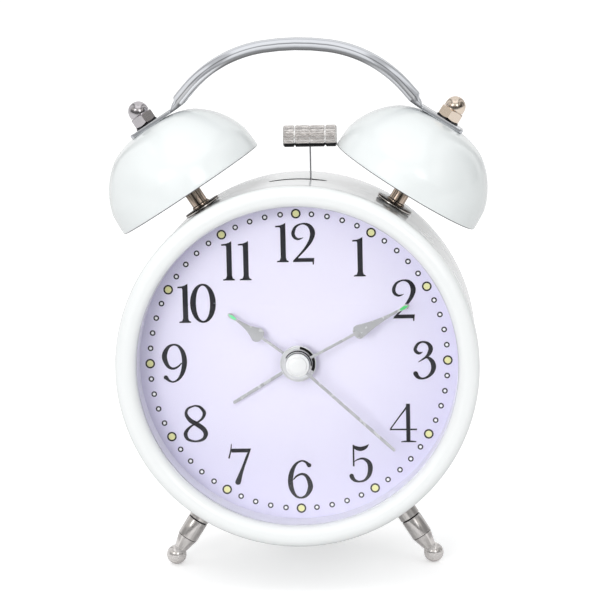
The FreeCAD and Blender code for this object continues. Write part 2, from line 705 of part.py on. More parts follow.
def minute_wheel():
    wheel = gear(MINUTE_TEETH, MODULE_MOTION, 0, MINUTE_AXIS, *MOTION_PLANE)
    phase = meshing_phase(0, HOUR_TEETH, MINUTE_TURN, MINUTE_PINION)
    pinion = gear(MINUTE_PINION, MODULE_HOUR, phase, MINUTE_AXIS, HOUR_PLANE[0] - 0.1, MOTION_PLANE[0] + 0.1)
    return less(joined(wheel, pinion), rod(*MINUTE_AXIS, 0.6 + RUN, 3, 9))


def hour_wheel():
    wheel = gear(HOUR_TEETH, MODULE_HOUR, 0, (0, 0), *HOUR_PLANE)
    return less(joined(wheel, rod(0, 0, HOUR_PIPE_R, -3.7, 5.4)), rod(0, 0, MINUTE_PIPE_R + RUN, -5, 7))


def alarm_wheel():
    wheel = gear(ALARM_TEETH, MODULE_ALARM, 0, (0, 0), *ALARM_PLANE)
    return less(joined(wheel, rod(0, 0, ALARM_PIPE_R, -2.1, 4.1)), rod(0, 0, HOUR_PIPE_R + RUN, -5, 7))


def setting_arbor(axis, module, teeth, phase, plane):
    pinion = gear(teeth, module, phase, axis, plane[0] - 0.1, plane[1] + 0.1)
    return joined(pinion, rod(*axis, SET_ARBOR_R, plane[0] - 0.1, 46.8))


def setting_knob(axis):
    """Fluted knob in its well, with a blind bore for the arbor."""
    x, z = axis
    low, high = 44.2, 50.6
    body = turned((0, low), [(6.3, low), (6.5, low + 0.4), (6.5, high - 0.8), (5.7, high), (0, high)])
    body.translate(V(x, 0, z))
    flutes = []
    for k in range(14):
        fx, fz = polar(6.9, k * 360 / 14)
        flutes.append(rod(x + fx, z + fz, 0.75, low - 1, high + 1))
    return less(body, rod(x, z, SET_ARBOR_R + 0.02, low - 1, 46.9), *flutes)


def movement_pivots(front, back):
    return [rod(*axis, PIVOT_R + RUN, front, back) for axis in (FIFTH_AXIS, ROTOR_AXIS, THIRD_AXIS)]


def movement_block(inset, front, back):
    """The movement's outline, or its inside when it is set in by the wall."""
    side, low, high = 25.0 - inset, -21.5 + inset, 29.0 - inset
    return rounded(-side, side, low, high, front, back, 3.0 - inset)


def movement_front_shell():
    tray = movement_block(0, MOVEMENT_FRONT, MOVEMENT_SPLIT)
    hollow = movement_block(MOVEMENT_WALL, MOVEMENT_FRONT + MOVEMENT_WALL, MOVEMENT_SPLIT + 1)
    bush = rod(0, 0, 4.0, -1.2, MOVEMENT_FRONT + 0.5)
    studs = [rod(*axis, 0.95, 3.0, 7.9) for axis in (FIFTH_AXIS, ROTOR_AXIS, THIRD_AXIS)]
    corners = [rod(x, z, 2.2, 3.0, MOVEMENT_SPLIT) for x, z in MOVEMENT_SCREWS]
    minute_stud = rod(*MINUTE_AXIS, 0.6, 3.0, 7.9)
    shell = joined(tray.cut(hollow), bush, minute_stud, *studs, *corners)
    holes = [rod(x, z, 1.0, 2, 10) for x, z in MOVEMENT_SCREWS]
    return less(shell, rod(0, 0, ALARM_PIPE_R + RUN, -2, 4), *movement_pivots(6.6, 8.0), *holes)


def movement_back_shell():
    lid = movement_block(0, MOVEMENT_SPLIT + 0.02, MOVEMENT_BACK)
    hollow = movement_block(MOVEMENT_WALL, MOVEMENT_SPLIT - 1, BACK_WALL)
    corners = [rod(x, z, 2.2, MOVEMENT_SPLIT + 0.02, BACK_WALL + 0.2) for x, z in MOVEMENT_SCREWS]
    holes = [rod(x, z, 1.0, 8, 16) for x, z in MOVEMENT_SCREWS]
    arbors = [rod(*axis, SET_ARBOR_R + RUN, 12, 16) for axis in (SET_AXIS, ALARM_AXIS)]
    seconds = rod(0, 0, SECONDS_R + RUN, 13, 14.4)
    return less(joined(lid.cut(hollow), *corners), seconds, *movement_pivots(13, 14.4), *arbors, *holes)


def movement_screws():
    head_r, shank_r = 1.7, 0.78
    screws = []
    for x, z in MOVEMENT_SCREWS:
        head = rod(x, z, head_r, MOVEMENT_BACK + 0.02, MOVEMENT_BACK + 1.0)
        screws.append(joined(head, rod(x, z, shank_r, 1.1, MOVEMENT_BACK + 0.5)))
    return Part.makeCompound(screws)


def circuit_board():
    return rounded(3.0, 23.0, -16.0, -8.6, 11.4, 12.4, 0.8)


COIL_Z = 21.0


def coil_bobbin():
    core = Part.makeCylinder(2.6, 20.0, V(-12.0, 10.6, COIL_Z), V(1, 0, 0))
    cheeks = [block(x, x + 0.9, 8.0, 13.2, COIL_Z - 3.4, COIL_Z + 3.4) for x in (-12.0, 7.1)]
    slot = block(-13, 9, 10.1, 11.1, COIL_Z - 1.3, COIL_Z + 1.3)
    return less(joined(core, *cheeks), slot)


# Soft iron stator: a bar with a round pole for the rotor, and two arms up to the coil's core
def stator_plate():
    rx, rz = ROTOR_AXIS
    front, back = 10.2, 11.0
    frame = rounded(-16.5, 11.5, rz - 0.8, COIL_Z + 1.2, front, back, 0.7)
    window = block(-13.6, 9.0, front - 1, back + 1, rz + 0.8, COIL_Z - 1.2)
    pole = rod(rx, rz, 3.6, front, back)
    return less(joined(frame.cut(window), pole), rod(rx, rz, 2.8, front - 1, back + 1))


# Hands: stamped sheet on round hubs
def pointed_hand(length, base, half, tip_length, hub_r, bore, front, back):
    """A thin stem, a drop-shaped blade and a narrow luminous tip."""
    stem, neck = 0.42, 0.42
    tip_start = length - tip_length
    belly = base + half
    steps = [
        (stem, base + 0.2), (half * 0.72, base + half * 0.3, half, belly),
        (half * 0.42, belly + (tip_start - belly) * 0.42, neck, tip_start),
        (0.72, tip_start + tip_length * 0.45), (0.25, length - 0.15, 0, length),
        (-0.25, length - 0.15, -0.72, tip_start + tip_length * 0.45), (-neck, tip_start),
        (-half * 0.42, belly + (tip_start - belly) * 0.42, -half, belly),
        (-half * 0.72, base + half * 0.3, -stem, base + 0.2), (-stem, 0),
    ]
    blade = plate((stem, 0), steps, front, back)
    return less(joined(blade, rod(0, 0, hub_r, front, back)), rod(0, 0, bore, front - 1, back + 1))


def baton_hand(length, half, hub_r, bore, front, back):
    round_end = (0, length, -half, length - half)
    blade = plate((half, 0), [(half, length - half), round_end, (-half, 0)], front, back)
    return less(joined(blade, rod(0, 0, hub_r, front, back)), rod(0, 0, bore, front - 1, back + 1))


def pointing(hand, angle):
    hand.rotate(CENTRE, ALONG_DIAL_AXIS, angle)
    return hand


def alarm_hand():
    hand = baton_hand(ALARM_HAND[1], 0.5, 4.6, ALARM_PIPE_R + 0.01, -2.0, -1.7)
    return pointing(hand, ALARM_HAND[0])


# The hour hand carries a shallow polished cup at its hub
def hour_hand():
    bore = HOUR_PIPE_R + 0.01
    hand = pointed_hand(HOUR_HAND[1], 13.4, 2.35, 3.2, 5.6, bore, -3.3, -3.0)
    steps = [(5.2, -3.1), (5.6, -3.1), (5.6, -3.9), (5.2, -3.9), (4.9, -3.35), (bore, -3.35)]
    cup = turned((bore, -3.1), steps)
    return pointing(joined(hand, cup), HOUR_HAND[0])


def minute_hand():
    hand = pointed_hand(MINUTE_HAND[1], 19.6, 2.2, 3.4, 4.2, MINUTE_PIPE_R + 0.01, -5.4, -5.1)
    return pointing(hand, MINUTE_HAND[0])


def second_hand():
    hand = baton_hand(SECOND_HAND[1], 0.48, 2.4, SECONDS_R + 0.01, -6.9, -6.6)
    return pointing(hand, SECOND_HAND[0])


def hand_cap():
    bore, edge, front, inside, back = SECONDS_R + 0.01, 3.7, -8.7, -7.45, -6.95
    steps = [(edge, -7.7), (edge, back), (bore, back), (bore, inside), (0, inside)]
    return turned((0, front), [(2.6, -8.4)] + steps)


def crank_wheel():
    wheel = gear(CRANK_TEETH, MODULE_BELL, 0, CRANK_AXIS, 18.8, 20.5)
    x, z = CRANK_AXIS
    pin = rod(x + CRANK_THROW, z, 0.6, 18.1, 19.0)
    return less(joined(wheel, pin), rod(x, z, 1.0 + RUN, 19.4, 21))


def motor_pinion():
    phase = meshing_phase(0, CRANK_TEETH, MOTOR_TURN, MOTOR_PINION)
    x, z = MOTOR_AXIS
    return joined(gear(MOTOR_PINION, MODULE_BELL, phase, (x, z), 18.9, 20.4), rod(x, z, 0.5, 18.9, 37.5))


# Switch for the alarm, at the left end of its travel
def alarm_switch_slider():
    x = -SWITCH_TRAVEL / 2
    flange = block(x - 5.6, x + 5.6, 44.2, 45.4, SWITCH_Z - 3.0, SWITCH_Z + 3.0)
    stem = block(x - 2.2, x + 2.2, 45.0, 49.4, SWITCH_Z - 1.3, SWITCH_Z + 1.3)
    grips = [block(x + k - 0.25, x + k + 0.25, 48.9, 50, SWITCH_Z - 2, SWITCH_Z + 2) for k in (-1.2, 0, 1.2)]
    return less(joined(flange, stem), *grips)


def pair(shape, angle):
    return Part.makeCompound([at_clock(shape, -angle), at_clock(shape, angle)])


def build():
    for piece in (
        bezel_ring, crystal_lens, dial_shroud, dial_plate, case_drum, dial_carrier, rear_cover,
        rear_cover_screws, battery_door, battery_cell, battery_contact_plus, battery_contact_minus,
        carry_handle, hammer_head, hammer_wire, hammer_lever, hammer_pivot_pin, bell_bracket, bell_motor,
        motor_pinion, crank_wheel, seconds_wheel, fifth_wheel, rotor, third_wheel, centre_wheel,
        cannon_pinion, minute_wheel, hour_wheel, alarm_wheel, movement_front_shell, movement_back_shell,
        movement_screws, circuit_board, coil_bobbin, stator_plate, alarm_hand, hour_hand, minute_hand,
        second_hand, hand_cap, alarm_switch_slider,
    ):
        parts[piece.__name__] = piece()
    for side, angle in (("left", -1), ("right", 1)):
        parts["bell_" + side] = at_clock(bell(), angle * BELL_ANGLE)
        parts["bell_post_" + side] = at_clock(bell_post(), angle * BELL_ANGLE)
        parts["acorn_nut_" + side] = at_clock(acorn_nut(), angle * BELL_ANGLE)
        parts["leg_" + side] = at_clock(leg(), angle * LEG_ANGLE)
    parts["post_washers"] = pair(post_washer(), BELL_ANGLE)
    parts["bell_studs"] = pair(bell_stud(), BELL_ANGLE)
    parts["stud_nuts"] = pair(inner_nut(), BELL_ANGLE)
    parts["lock_washers"] = pair(lock_washer(), BELL_ANGLE)
    parts["leg_nuts"] = pair(inner_nut(), LEG_ANGLE)
    phase = meshing_phase(0, MINUTE_TEETH, MINUTE_TURN, SET_TEETH)
    parts["time_set_arbor"] = setting_arbor(SET_AXIS, MODULE_MOTION, SET_TEETH, phase, MOTION_PLANE)
    phase = meshing_phase(0, ALARM_TEETH, ALARM_TURN, ALARM_PINION)
    parts["alarm_set_arbor"] = setting_arbor(ALARM_AXIS, MODULE_ALARM, ALARM_PINION, phase, ALARM_PLANE)
    parts["time_set_knob"] = setting_knob(SET_AXIS)
    parts["alarm_set_knob"] = setting_knob(ALARM_AXIS)


def set_down(shape):
    """Leans a piece back and moves it so that the table is Z = 0."""
    shape = shape.copy()
    shape.rotate(CENTRE, V(1, 0, 0), -LEAN)
    height = -floor_at(0) * cos(radians(LEAN))
    shape.translate(V(0, -FLOOR_CENTRE_Y, height))
    return shape


build()
os.makedirs("parts", exist_ok=True)
box = None
for name, shape in parts.items():
    placed = set_down(shape)
    placed.exportStep("parts/" + name + ".step")
    size = placed.BoundBox
    box = size if box is None else box.united(size)
    print(f"{name:22s} solids {len(placed.Solids)} valid {placed.isValid()} volume {placed.Volume:10.2f}")
print("box", box)
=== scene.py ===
import json
from math import atan2, cos, hypot, pi, radians, sin

import bmesh
import bpy
from mathutils import Matrix, Vector


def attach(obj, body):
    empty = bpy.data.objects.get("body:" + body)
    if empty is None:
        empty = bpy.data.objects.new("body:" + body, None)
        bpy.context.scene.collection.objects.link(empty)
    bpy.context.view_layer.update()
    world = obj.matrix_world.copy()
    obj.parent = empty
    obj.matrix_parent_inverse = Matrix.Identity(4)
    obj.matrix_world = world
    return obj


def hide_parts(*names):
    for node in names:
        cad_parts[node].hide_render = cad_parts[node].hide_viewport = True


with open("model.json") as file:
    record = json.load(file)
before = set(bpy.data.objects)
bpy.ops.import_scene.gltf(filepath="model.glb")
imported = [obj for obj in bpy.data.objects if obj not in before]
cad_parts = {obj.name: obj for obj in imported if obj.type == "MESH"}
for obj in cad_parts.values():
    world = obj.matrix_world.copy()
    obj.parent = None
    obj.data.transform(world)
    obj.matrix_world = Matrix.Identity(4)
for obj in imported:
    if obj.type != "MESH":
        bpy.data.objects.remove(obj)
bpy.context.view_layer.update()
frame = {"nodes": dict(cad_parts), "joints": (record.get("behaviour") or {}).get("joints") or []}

# The clock is drawn upright about the centre of its dial, in millimetres: X right, Y into the case, Z up.
# The minute hand's joint says where that centre is and how far the case leans back.
dial_joint = next(joint for joint in frame["joints"] if joint["name"] == "minutes_spin")
dial_centre = Vector(dial_joint["pos_m"])
into_case = Vector(dial_joint["axis"])
lean = atan2(-into_case.z, into_case.y)
leaned = Matrix.Translation(dial_centre) @ Matrix.Rotation(-lean, 4, "X")
upright_to_frame = leaned @ Matrix.Scale(0.001, 4)

# Camera, where the photographer stood: a little to the clock's right and above it, with a long lens.
camera_place = Vector((43.60, -888.24, 138.31))
camera_aim = Vector((-0.04774, 0.99003, -0.13257))
camera_level = Vector((0.99877, 0.04558, -0.01920))
lens_mm = 173.24


def add_object(name, data):
    thing = bpy.data.objects.new(name, data)
    bpy.context.collection.objects.link(thing)
    return thing


camera_data = bpy.data.cameras.new("camera")
camera_data.lens = lens_mm
camera_data.sensor_width = 36.0
camera_data.clip_start = 0.05
camera_data.clip_end = 20.0
camera = add_object("camera", camera_data)
camera_up = camera_level.cross(camera_aim)
camera_turn = Matrix((camera_level, camera_up, -camera_aim)).transposed().to_4x4()
camera.matrix_world = Matrix.Translation(upright_to_frame @ camera_place) @ leaned.to_3x3().to_4x4() @ camera_turn
bpy.context.scene.camera = camera
bpy.context.scene.view_settings.view_transform = "Standard"


# Studio: a pale table in a soft white room, with a large lamp in front on the left, a weaker one on the right
# and one overhead. What glossy parts reflect is drawn apart: a dark room behind the camera, bright overhead
# and at the back, upright dark strips on both sides, and two small soft boxes. The lamps aren't reflected.
def new_material(name):
    material = bpy.data.materials.new(name)
    material.use_nodes = True
    return material, material.node_tree, material.node_tree.nodes["Principled BSDF"]


def soft_lamp(name, place, aim, size, power):
    light = bpy.data.lights.new(name, "AREA")
    light.shape = "DISK"
    light.size = size
    light.energy = power
    lamp = add_object(name, light)
    lamp.location = place
    lamp.rotation_euler = (Vector(aim) - Vector(place)).to_track_quat("-Z", "Y").to_euler()
    lamp.visible_glossy = False


aim_point = (0, 0, 0.085)
soft_lamp("lamp_front", (-0.65, -1.75, 0.50), aim_point, 1.0, 13.5)
soft_lamp("lamp_right", (1.1, -0.9, 0.55), aim_point, 0.8, 2.2)
soft_lamp("lamp_overhead", (-0.3, -0.1, 1.5), aim_point, 1.0, 4.0)

world = bpy.data.worlds.new("white_room")
bpy.context.scene.world = world
world.use_nodes = True
room = world.node_tree


def fill(tree, node, inputs):
    """Gives a node its inputs: an output is linked, and anything else is set as the socket's value."""
    for name, value in dict(inputs).items():
        if isinstance(value, bpy.types.NodeSocket):
            tree.links.new(value, node.inputs[name])
        else:
            node.inputs[name].default_value = value


def node_of(tree, kind, inputs=(), **settings):
    """A new shader node with its settings and inputs."""
    node = tree.nodes.new(kind)
    for name, value in settings.items():
        setattr(node, name, value)
    fill(tree, node, inputs)
    return node


def math_of(tree, operation, *values):
    return node_of(tree, "ShaderNodeMath", enumerate(values), operation=operation).outputs[0]


def vector_of(tree, operation, *values):
    """One Vector Math node; it gives a value where it measures, and else a vector."""
    node = node_of(tree, "ShaderNodeVectorMath", enumerate(values), operation=operation)
    return node.outputs["Value" if operation in ("LENGTH", "DISTANCE", "DOT_PRODUCT") else "Vector"]


def parts_of(tree, vector):
    """A vector's X, Y and Z outputs."""
    return node_of(tree, "ShaderNodeSeparateXYZ", {0: vector}).outputs


def spread_of(tree, value, low, high, to_low=0.0, to_high=1.0):
    """A clamped and eased step between two values."""
    ends = {"Value": value, "From Min": low, "From Max": high, "To Min": to_low, "To Max": to_high}
    return node_of(tree, "ShaderNodeMapRange", ends, interpolation_type="SMOOTHSTEP").outputs[0]


def colour_mix(tree, factor, first, second, blend="MIX"):
    """Two colours mixed; a colour given as three numbers is opaque."""
    first, second = ((*tone, 1.0) if isinstance(tone, tuple) else tone for tone in (first, second))
    return node_of(tree, "ShaderNodeMix", {"Factor": factor, "A": first, "B": second}, data_type="RGBA",
                   blend_type=blend).outputs["Result"]


def ramp_of(tree, value, stops, interpolation="LINEAR"):
    """Tones along a value, as (place from 0 to 1, grey tone or colour)."""
    node = node_of(tree, "ShaderNodeValToRGB", {0: value})
    ramp = node.color_ramp
    ramp.interpolation = interpolation
    ramp.elements[0].position, ramp.elements[1].position = stops[0][0], stops[-1][0]
    for place, tone in stops[1:-1]:
        ramp.elements.new(place)
    for element, (place, tone) in zip(ramp.elements, stops):
        element.color = (*(tone if isinstance(tone, tuple) else (tone,) * 3), 1)
    return node.outputs["Color"]


def room_bands(value, stops):
    """Tones of the room along one direction, as (place from -1 to 1, tone)."""
    share = math_of(room, "MULTIPLY_ADD", value, 0.5, 0.5)
    return ramp_of(room, share, [((place + 1) / 2, tone) for place, tone in stops], "EASE")


direction = node_of(room, "ShaderNodeTexCoord").outputs["Generated"]
across, away, up = parts_of(room, direction)
cream = (0.80, 0.78, 0.74)
ahead = room_bands(up, ((-1.0, 0.5), (-0.12, 0.05), (0.06, 0.06), (0.20, 0.18), (0.31, 0.24), (0.38, cream),
                        (0.58, cream), (0.63, 0.40), (0.68, 0.40), (0.76, 1.1), (0.95, 1.15), (1.0, 0.6)))
behind = room_bands(up, ((-1.0, 0.8), (0.0, 0.98), (0.12, 0.92), (0.26, 0.86), (0.45, 0.88), (0.66, 0.84),
                         (0.78, 0.84), (0.88, 0.88), (1.0, 0.9)))
sides = room_bands(across, ((-1.0, 0.5), (-0.9, 0.75), (-0.66, 0.95), (-0.60, 0.25), (-0.50, 0.25), (-0.42, 1.0),
                            (0.40, 1.0), (0.48, 0.3), (0.58, 0.3), (0.66, 0.95), (0.74, 0.9), (0.80, 0.12),
                            (0.92, 0.12), (1.0, 0.5)))
both_ways = colour_mix(room, spread_of(room, away, -0.12, 0.12), ahead, behind)
mirrored = colour_mix(room, 0.9, both_ways, sides, "MULTIPLY")
for toward in ((-0.50, -0.74, 0.46), (0.34, -0.86, 0.38)):
    off_box = vector_of(room, "DISTANCE", direction, toward)
    soft_box = spread_of(room, off_box, 0.09, 0.22, 1.0, 0.0)
    mirrored = colour_mix(room, soft_box, mirrored, (3.2, 3.2, 3.2))
seen = node_of(room, "ShaderNodeLightPath").outputs
lit_room = colour_mix(room, seen["Is Glossy Ray"], (0.73, 0.733, 0.735), mirrored)
backdrop = colour_mix(room, seen["Is Camera Ray"], lit_room, (1.0, 1.0, 1.0))
fill(room, room.nodes["Background"], {"Color": backdrop})

table_mesh = bmesh.new()
bmesh.ops.create_grid(table_mesh, x_segments=1, y_segments=1, size=3.0)
table_data = bpy.data.meshes.new("table")
table_mesh.to_mesh(table_data)
table_mesh.free()
table = add_object("table", table_data)
pale, tree, shader = new_material("pale_table")
grain = node_of(tree, "ShaderNodeTexNoise", {"Scale": 900.0}).outputs["Fac"]
grain_bump = node_of(tree, "ShaderNodeBump", {"Strength": 0.05, "Height": grain}).outputs["Normal"]
where = parts_of(tree, node_of(tree, "ShaderNodeTexCoord").outputs["Object"])
rays = node_of(tree, "ShaderNodeLightPath").outputs
# The table's front is painted dark for glossy rays only, a painted dark reflection in the clock's glossy parts; it is
# darker for bounced light, and for the camera it glows evenly white.
in_front = spread_of(tree, where["Y"], -0.60, -0.22, 1.0, 0.0)
dimmed = math_of(tree, "MULTIPLY", in_front, rays["Is Glossy Ray"])
bounced = colour_mix(tree, rays["Is Diffuse Ray"], (0.93, 0.93, 0.93), (0.62, 0.62, 0.62))
fill(tree, shader, {"Base Color": colour_mix(tree, dimmed, bounced, (0.05, 0.05, 0.05)), "Roughness": 0.6,
                    "Normal": grain_bump, "Emission Color": (1.0, 1.0, 1.0, 1.0),
                    "Emission Strength": math_of(tree, "MULTIPLY", rays["Is Camera Ray"], 0.36)})
table_data.materials.append(pale)


# Rolled bezel: a ring of thin steel sheet, pressed over the front edge of the drum and enamelled white.
# The enamel has a faint orange peel, and handling leaves its gloss slightly uneven.
def make_surface_group():
    """Fine waves of a surface, and a mask of the smears that handling leaves on it."""
    group = bpy.data.node_groups.new("handled_surface", "ShaderNodeTree")
    for way, names in (("INPUT", ("Coordinates", "Wave Scale", "Smear Scale", "Least Roughness", "Most Roughness")),
                       ("OUTPUT", ("Height", "Roughness", "Smears"))):
        for name in names:
            kind = "NodeSocketVector" if name == "Coordinates" else "NodeSocketFloat"
            group.interface.new_socket(name, in_out=way, socket_type=kind)
    given, result = group.nodes.new("NodeGroupInput"), group.nodes.new("NodeGroupOutput")
    sockets = given.outputs
    where = sockets["Coordinates"]
    waves = node_of(group, "ShaderNodeTexNoise", {"Vector": where, "Scale": sockets["Wave Scale"],
                                                  "Detail": 2.0}).outputs["Fac"]
    smears = node_of(group, "ShaderNodeTexNoise", {"Vector": where, "Scale": sockets["Smear Scale"],
                                                   "Detail": 5.0, "Distortion": 0.6}).outputs["Fac"]
    spread = node_of(group, "ShaderNodeMapRange", {
        "Value": smears, "From Min": 0.35, "From Max": 0.65, "To Min": sockets["Least Roughness"],
        "To Max": sockets["Most Roughness"]})
    fill(group, result, {"Height": waves, "Roughness": spread.outputs["Result"], "Smears": smears})
    return group


handled_surface = make_surface_group()
bump_height = 0.0001
mid_depth, stem_turn = 17.0, 32.6


def edge_of(tree, value, low, high, to_low=0.0, to_high=1.0):
    """An eased step along a length, with its ends in millimetres."""
    return spread_of(tree, value, low / 1000, high / 1000, to_low, to_high)


def band_of(tree, value, middle, half):
    """1 within half of the middle of a length, in millimetres, and 0 outside."""
    return math_of(tree, "COMPARE", value, middle / 1000, half / 1000)


def moved_to(tree, vector, place, turn):
    """Coordinates measured from a place, along axes that are turned."""
    return node_of(tree, "ShaderNodeMapping", {"Vector": vector, "Location": place, "Rotation": turn},
                   vector_type="TEXTURE").outputs["Vector"]


def add_surface(tree, shader, wave_scale, smear_scale, roughness, bump, stretch=None, stem=False):
    """Places the handled surface in a material, in the clock's upright coordinates.

    For a stem the coordinates are turned so that Z runs along it, and both sides share them. What is
    stretched runs in lines. It gives the coordinates and the mask of smears."""
    placed = moved_to(tree, node_of(tree, "ShaderNodeTexCoord").outputs["Object"], dial_centre, (-lean, 0, 0))
    if stem:
        both_sides_alike = vector_of(tree, "ABSOLUTE", placed)
        placed = moved_to(tree, both_sides_alike, (0, mid_depth / 1000, 0), (0, radians(stem_turn), 0))
    drawn_in = vector_of(tree, "MULTIPLY", placed, stretch) if stretch else placed
    given = {"Coordinates": drawn_in, "Wave Scale": wave_scale, "Smear Scale": smear_scale,
             "Least Roughness": roughness[0], "Most Roughness": roughness[1]}
    surface = node_of(tree, "ShaderNodeGroup", given, node_tree=handled_surface).outputs
    raised = node_of(tree, "ShaderNodeBump", {"Strength": bump, "Distance": bump_height, "Height": surface["Height"]})
    fill(tree, shader, {"Roughness": surface["Roughness"], "Normal": raised.outputs["Normal"]})
    return placed, surface["Smears"]


def two_tones(tree, shader, mask, light, dark, low=0.0, high=1.0):
    """Base colour between two tones, by a mask; the tones meet between its low and high values."""
    share = mask if (low, high) == (0.0, 1.0) else spread_of(tree, mask, low, high)
    tone = colour_mix(tree, share, light, dark)
    fill(tree, shader, {"Base Color": tone})
    return tone


def enamel(name, light, dark, dark_rim_below=None):
    """Glossy enamel; on a bell the rim below a height of its stem is dark grey."""
    material, tree, shader = new_material(name)
    placed, smears = add_surface(tree, shader, 420.0, 38.0, (0.16, 0.26), 0.05, stem=bool(dark_rim_below))
    tone = two_tones(tree, shader, smears, light, dark)
    if dark_rim_below:
        height = parts_of(tree, placed)["Z"]
        dark_rim = edge_of(tree, height, dark_rim_below - 0.05, dark_rim_below + 0.05, 1.0, 0.0)
        fill(tree, shader, {"Base Color": colour_mix(tree, dark_rim, tone, (0.10, 0.10, 0.11))})
    fill(tree, shader, {"Coat Weight": 0.5, "Coat Roughness": 0.12})
    return material


white_enamel = enamel("white_enamel", (0.90, 0.915, 0.915), (0.86, 0.885, 0.885))


def arc(start, through, end, steps=10):
    """Points of the arc from start to end by way of a third point, with start left out."""
    ax, ay = start
    bx, by = through
    cx, cy = end
    twice = 2 * (ax * (by - cy) + bx * (cy - ay) + cx * (ay - by))
    sa, sb, sc = ax * ax + ay * ay, bx * bx + by * by, cx * cx + cy * cy
    ux = (sa * (by - cy) + sb * (cy - ay) + sc * (ay - by)) / twice
    uy = (sa * (cx - bx) + sb * (ax - cx) + sc * (bx - ax)) / twice
    radius = hypot(ax - ux, ay - uy)
    first, last = atan2(ay - uy, ax - ux), atan2(cy - uy, cx - ux)
    clockwise = (bx - ax) * (cy - ay) - (by - ay) * (cx - ax) < 0
    turn = (first - last if clockwise else last - first) % (2 * pi)
    sign = -1 if clockwise else 1
    return [(ux + radius * cos(first + sign * turn * k / steps), uy + radius * sin(first + sign * turn * k / steps))
            for k in range(1, steps + 1)]


def turned(outline, segments, about="dial"):
    """Spins an outline of (radius, distance) about the dial's axis or about an upright stem."""
    shape = bmesh.new()
    put = (lambda r, d: (r, d, 0)) if about == "dial" else (lambda r, d: (r, 0, d))
    axis = (0, 1, 0) if about == "dial" else (0, 0, 1)
    verts = [shape.verts.new(put(max(r, 0.0), d)) for r, d in outline]
    edges = [shape.edges.new((a, b)) for a, b in zip(verts, verts[1:])]
    if outline[0][0] > 1e-6 and outline[-1][0] > 1e-6:
        edges.append(shape.edges.new((verts[-1], verts[0])))
    bmesh.ops.spin(shape, geom=verts + edges, cent=(0, 0, 0), axis=axis, angle=2 * pi, steps=segments,
                   use_merge=True, use_duplicate=False)
    bmesh.ops.remove_doubles(shape, verts=shape.verts, dist=1e-5)
    return shape


def finish(name, shape, material, body, stands_for=(), sharp=32.0, place=None):
    """Turns a drawn shape into a piece: placed in the frame, shaded, and riding on its body."""
    bmesh.ops.recalc_face_normals(shape, faces=shape.faces)
    for face in shape.faces:
        face.smooth = True
    for edge in shape.edges:
        edge.smooth = not edge.is_manifold or edge.calc_face_angle(0.0) < radians(sharp)
    shape.transform(upright_to_frame @ place if place else upright_to_frame)
    data = bpy.data.meshes.new(name)
    shape.to_mesh(data)
    shape.free()
    piece = add_object(name, data)
    data.materials.append(material)
    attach(piece, body)
    if stands_for:
        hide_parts(*stands_for)


bezel_r, bezel_front, opening_r, lip_depth, seam = 56.15, -15.0, 49.6, -11.9, -8.4
crest_r = 52.7
front_roll = [(opening_r, lip_depth), (opening_r + 0.1, lip_depth - 0.3)]
front_roll += arc(front_roll[-1], (50.4, -14.0), (crest_r, bezel_front), 12)
front_roll += arc((crest_r, bezel_front), (55.2, -14.05), (bezel_r, -11.4), 14)
hem = [(bezel_r, seam - 0.45), (bezel_r - 0.12, seam - 0.14), (bezel_r - 0.4, seam - 0.05), (55.05, seam - 0.05)]
inside = [(55.05, -12.4), (53.5, -13.9), (51.6, -13.7), (50.9, lip_depth + 0.4), (opening_r, lip_depth + 0.4)]
finish("rolled_bezel", turned(front_roll + hem + inside, 224), white_enamel, "case",
       ("bezel_ring",))


# Drum: thin steel sheet rolled into a tube and enamelled with the bezel. Its inside and its cut edges keep
# their dark primer, and a thin band of the outside next to the back edge is painted dark as a shadow line.
# Its shape, with the hammer's slot and the stud holes, is the solid's own.
def dress(material, *names):
    """Gives nodes that keep their own shape a finished material."""
    for name in names:
        for slot in frame["nodes"][name].material_slots:
            slot.material = material


drum_skin_r, shadow_line_from = 55.5, 44.8


def drum_enamel():
    material, tree, shader = new_material("drum_enamel")
    placed, smears = add_surface(tree, shader, 420.0, 38.0, (0.16, 0.26), 0.05)
    white = two_tones(tree, shader, smears, (0.835, 0.845, 0.855), (0.795, 0.81, 0.825))
    reach = vector_of(tree, "LENGTH", vector_of(tree, "MULTIPLY", placed, (1, 0, 1)))
    depth = parts_of(tree, placed)["Y"]
    # A thin band of the outside next to the back edge is painted dark: a painted shadow line.
    ahead_of_shadow_line = edge_of(tree, depth, shadow_line_from - 0.1, shadow_line_from + 0.1, 1.0, 0.06)
    outside = edge_of(tree, reach, drum_skin_r - 0.05, drum_skin_r + 0.05)
    skin = math_of(tree, "MULTIPLY", outside, ahead_of_shadow_line)
    fill(tree, shader, {"Base Color": colour_mix(tree, skin, (0.02, 0.02, 0.022), white),
                        "Coat Weight": math_of(tree, "MULTIPLY", skin, 0.6), "Coat Roughness": 0.06})
    return material


dress(drum_enamel(), "case_drum")


# Front glass: a flat disc cut from clear sheet glass, with its edges taken off. It lies behind the bezel's lip,
# which holds it in front of the wall round the dial.
def clear_glass():
    material, tree, shader = new_material("clear_glass")
    fill(tree, shader, {"Base Color": (0.985, 0.995, 0.99, 1), "Roughness": 0.0, "IOR": 1.45,
                        "Transmission Weight": 1.0})
    in_shadow = node_of(tree, "ShaderNodeLightPath").outputs["Is Shadow Ray"]
    open_air = node_of(tree, "ShaderNodeBsdfTransparent").outputs["BSDF"]
    blend = node_of(tree, "ShaderNodeMixShader", {0: in_shadow, 1: shader.outputs["BSDF"], 2: open_air})
    fill(tree, tree.nodes["Material Output"], {"Surface": blend.outputs["Shader"]})
    return material


glass_r, glass_front, glass_back = 51.3, -11.4, -9.7
disc_edge = [(0, glass_front), (glass_r - 0.3, glass_front), (glass_r, glass_front + 0.3),
             (glass_r, glass_back - 0.1), (glass_r - 0.1, glass_back), (0, glass_back)]
finish("front_glass", turned(disc_edge, 160), clear_glass(), "case", ("crystal_lens",))
